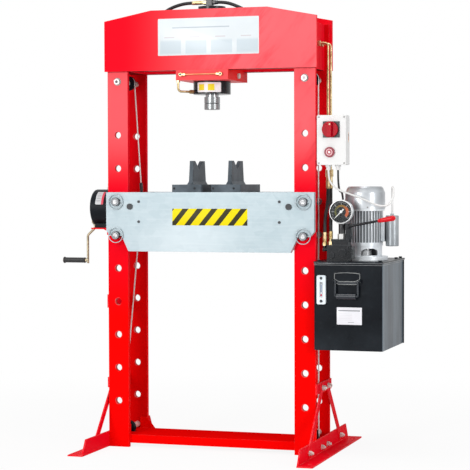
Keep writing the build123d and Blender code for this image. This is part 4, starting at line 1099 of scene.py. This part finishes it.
# pale rim lines: rubbed metal, with a painted highlight along the handle plate's edges
rimBlack = castSilver("rubbed edge and painted highlight", (0.22, 0.23, 0.23), (0.40, 0.41, 0.40), 0.2)
handleRim = {"face": -161.2, "radius": 0.00125,
             "line": [(577.5, 801), (595, 804), (634, 806), (672, 804), (690, 801), (690, 781), (686, 776), (668, 768),
                      (598, 768), (580, 776), (577.5, 781), (577.5, 801)]}
rim = divided([metres((x, handleRim["face"], z)) for x, z in handleRim["line"]], 4)[:-1]
tubePiece("handle_plate_rim", [rim], lambda along, angle: handleRim["radius"], rimBlack, "frame",
          closed=True)

# the plate's lower lip, open above, with a pale lower edge: rubbed, with a painted highlight
handleLip = {"back": -160.5, "front": -163.2, "edge": -163.4, "edgeRadius": 0.0011, "edgeStart": 4,
             "line": [(577, 776), (598, 767), (670, 767), (690, 776), (694, 767), (671, 755), (597, 755), (573, 767)]}
made = bmesh.new()
bridge(made, [[made.verts.new(metres((x, handleLip[side], z))) for x, z in handleLip["line"]]
              for side in ("back", "front")], True)
bmesh.ops.triangulate(made, faces=[f for f in made.faces if len(f.verts) > 4])
addMesh("handle_plate_lip", made, lineBlack, "frame", 50)
lipEdge = [metres((x, handleLip["edge"], z)) for x, z in handleLip["line"][handleLip["edgeStart"]:]]
tubePiece("handle_lip_edge", [divided(lipEdge, 4)], lambda along, angle: handleLip["edgeRadius"], rimBlack, "frame",
          sharp=50)

# two thin pale lines round the tank's top, painted highlights on the lid's lower edge and the tank's rolled rim
topLines = {
    "lid_edge": {"x": (486, 793.5), "y": (-162, 283), "corner": 1.5, "z": 846.2, "radius": 0.9, "proud": -0.35},
    "tank_rim": {"x": (486, 788.5), "y": (-157, 263), "corner": 8, "z": 838.4, "radius": 1.1, "proud": 0.2},
}


# front, round the corner and along the right side
def topLine(about):
    (left, right), (near, far) = about["x"], about["y"]
    out, corner = about["proud"], about["corner"]
    line = [(left + (right - corner - left) * k / 8, near - out) for k in range(8)]
    for k in range(7):
        a = math.radians(-90 + 15 * k)
        line.append((right - corner + (corner + out) * math.cos(a), near + corner + (corner + out) * math.sin(a)))
    line += [(right + out, near + corner + (far - near - 2 * corner) * k / 8) for k in range(1, 9)]
    return [metres((x, y, about["z"])) for x, y in line]


rimGrey = castSilver("painted rim highlight", (0.20, 0.21, 0.22), (0.36, 0.37, 0.38), 0.5)
for name, about in topLines.items():
    tubePiece(name, [topLine(about)], lambda along, angle: about["radius"] / 1000, rimGrey, "frame")
print("tank dressed")


# small screws, each with a socket, and the plugs in the front holes of the vee blocks
def enlarged(profile, scale):
    return [(radius * scale, height * scale) for radius, height in profile]


screwHead = [(0, 0.9), (1.7, 0.9), (1.9, 2.3), (3.7, 2.1), (4.3, 1.2), (4.4, -0.2), (0, -0.2)]
screwFinish = brightZinc("screw zinc", (0.42, 0.42, 0.41))
screws = {
    "switch_box_screws": {"way": toFront, "scale": 0.9,
                          "places": [(505, -150, 1478), (618, -150, 1478), (505, -150, 1279), (618, -150, 1279)]},
    "motor_box_screws": {"way": toLeft, "scale": 0.8,
                         "places": [(555, 27, 991), (555, 73, 991), (555, 27, 1046), (555, 73, 1046)]},
    "winch_side_screws": {"way": toLeft, "scale": 1.1,
                          "places": [(-595, 0, 1152), (-595, -62, 1115), (-595, 62, 1115)]},
}
for name, about in screws.items():
    turnedPiece(name, [(place, about["way"]) for place in about["places"]], enlarged(screwHead, about["scale"]),
                screwFinish, "frame", 20)

cowlScrews = {"centre": (664, 50, 1086), "radius": 88.0, "scale": 0.8, "turns": (20, 110, 200, 290)}
ways = [Vector((math.cos(math.radians(turn)), math.sin(math.radians(turn)), 0)) for turn in cowlScrews["turns"]]
turnedPiece("cowl_screws", [(Vector(cowlScrews["centre"]) + way * cowlScrews["radius"], way) for way in ways],
            enlarged(screwHead, cowlScrews["scale"]), screwFinish, "frame", 16)

veePlugs = {"places": [(-159, -150, 1170), (-64, -150, 1170), (23, -150, 1170), (118, -150, 1170)],
            "profile": [(0, 0.1), (3.4, 0.1), (3.8, 1.1), (4.8, 0.9), (5.2, -0.2), (0, -0.2)]}
turnedPiece("vee_block_plugs", [(place, toFront) for place in veePlugs["places"]], veePlugs["profile"],
            blackCoat("plug black", 0.4, 0.3, 1.0, 0.2), "bed", 20)


# crimped sleeves where the hoses leave their fittings
def sleeve(made, end, way, length):
    profile = [(7.6, -0.6), (8.6, 0.2)]
    grooves = max(2, int(length / 7))
    for k in range(grooves):
        low = 1.2 + (length - 3) * k / grooves
        high = 1.2 + (length - 3) * (k + 1) / grooves
        profile += [(9.2, low), (9.2, low + (high - low) * 0.62), (8.5, low + (high - low) * 0.72), (8.5, high - 0.4)]
    profile += [(9.2, length - 1.4), (8.9, length - 0.4), (7.9, length)]
    spun(made, end, way, profile, 24)


sleeves = {
    "frame_hose_sleeves": {"body": "frame", "finish": gold, "ends": [
        ((510, -8, 1167.8), toTop, 36), ((510, 42, 1167.8), toTop, 36), ((520.5, -105, 978.2), toBottom, 34),
        ((545, -95, 982.2), toBottom, 34), ((427.3, -8, 1808), toRight, 30)]},
    "head_hose_sleeves": {"body": "head", "finish": gold, "ends": [
        ((-122.2, 0, 2005), toRight, 44), ((-182.2, 0, 1737.3), toRight, 20)]},
    "head_hose_collar": {"body": "head", "finish": lineBlack, "ends": [((-1.8, 0, 2005), toLeft, 9.5)]},
}
for name, about in sleeves.items():
    made = bmesh.new()
    for end, way, length in about["ends"]:
        sleeve(made, end, way, length)
    addMesh(name, made, about["finish"], about["body"])


# fillet welds, laid as small ripples
feet = [((x, y, 20), (x, y, 103)) for y in (-108, 108) for x in (-388.5, 388.5)]
crown = [((x, y, 1695), (x + 95, y, 1695)) for y in (-128, 128) for x in (-484, 389)]
welds = {"radius": 0.0026, "ripple": 0.0042, "depth": 0.14, "step": 0.00105, "lines": feet + crown}


def weldReach(along, angle):
    crest = abs(math.sin(math.pi * along / welds["ripple"]))
    return welds["radius"] * (1 - welds["depth"] + welds["depth"] * crest)


beads = [[metres(end) for end in ends] for ends in welds["lines"]]
tubePiece("frame_welds", [divided([low, high], int((high - low).length / welds["step"])) for low, high in beads],
          weldReach, redWeld, "frame", 10)
print("fittings and welds made")


# pale floor that keeps the shadow, white surroundings
studio = {
    "fill": 0.54,
    "floor": (0.90, 0.90, 0.90),
    "front": {"place": (-2.0, -6.2, 2.3), "aim": (0, 0, 1.1), "size": (1.9, 2.8), "power": 168},
    "side": {"place": (4.7, -2.7, 2.0), "aim": (0.2, 0, 1.1), "size": (1.3, 2.8), "power": 70},
    "top": {"place": (0, -0.8, 4.6), "aim": (0, 0, 1.0), "size": (2.4, 2.0), "power": 50},
}


def makeFloor():
    mesh = bpy.data.meshes.new("floor")
    mesh.from_pydata([(-40, -40, 0), (40, -40, 0), (40, 40, 0), (-40, 40, 0)], [], [(0, 1, 2, 3)])
    floor = addObject("floor", mesh)
    floor.location.z = -0.0005
    p = Paint("pale studio floor")
    x, y, _ = p.axes()
    matt = p.node("ShaderNodeBsdfDiffuse", feeds={"Color": (*studio["floor"], 1)})
    glow = p.node("ShaderNodeEmission", feeds={"Color": (1, 1, 1, 1), "Strength": 1.0})
    share = p.seen() * (0.90 + x.reach(y).ramp(1.0, 3.2) * 0.10)
    p.close(p.node("ShaderNodeMixShader", feeds={0: share, 1: matt, 2: glow}))
    mesh.materials.append(p.material)


def makeWorld():
    p = Paint("studio", world=True)
    fill, white = (p.node("ShaderNodeBackground", feeds={"Color": (1, 1, 1, 1), "Strength": strength})
                   for strength in (studio["fill"], 1.0))
    p.close(p.node("ShaderNodeMixShader", feeds={0: p.seen(), 1: fill, 2: white}), "ShaderNodeOutputWorld")
    bpy.context.scene.world = p.material


def softBox(name, place, aim, size, power):
    lamp = bpy.data.lights.new(name, "AREA")
    lamp.shape = "RECTANGLE"
    lamp.size, lamp.size_y = size
    lamp.energy = power
    made = addObject(name, lamp)
    made.location = place
    made.rotation_euler = (Vector(aim) - Vector(place)).to_track_quat("-Z", "Y").to_euler()


makeFloor()
makeWorld()
for key in ("front", "side", "top"):
    box = studio[key]
    softBox(key + " soft box", box["place"], box["aim"], box["size"], box["power"])
bpy.context.scene.view_settings.view_transform = "Standard"
print("studio ready")
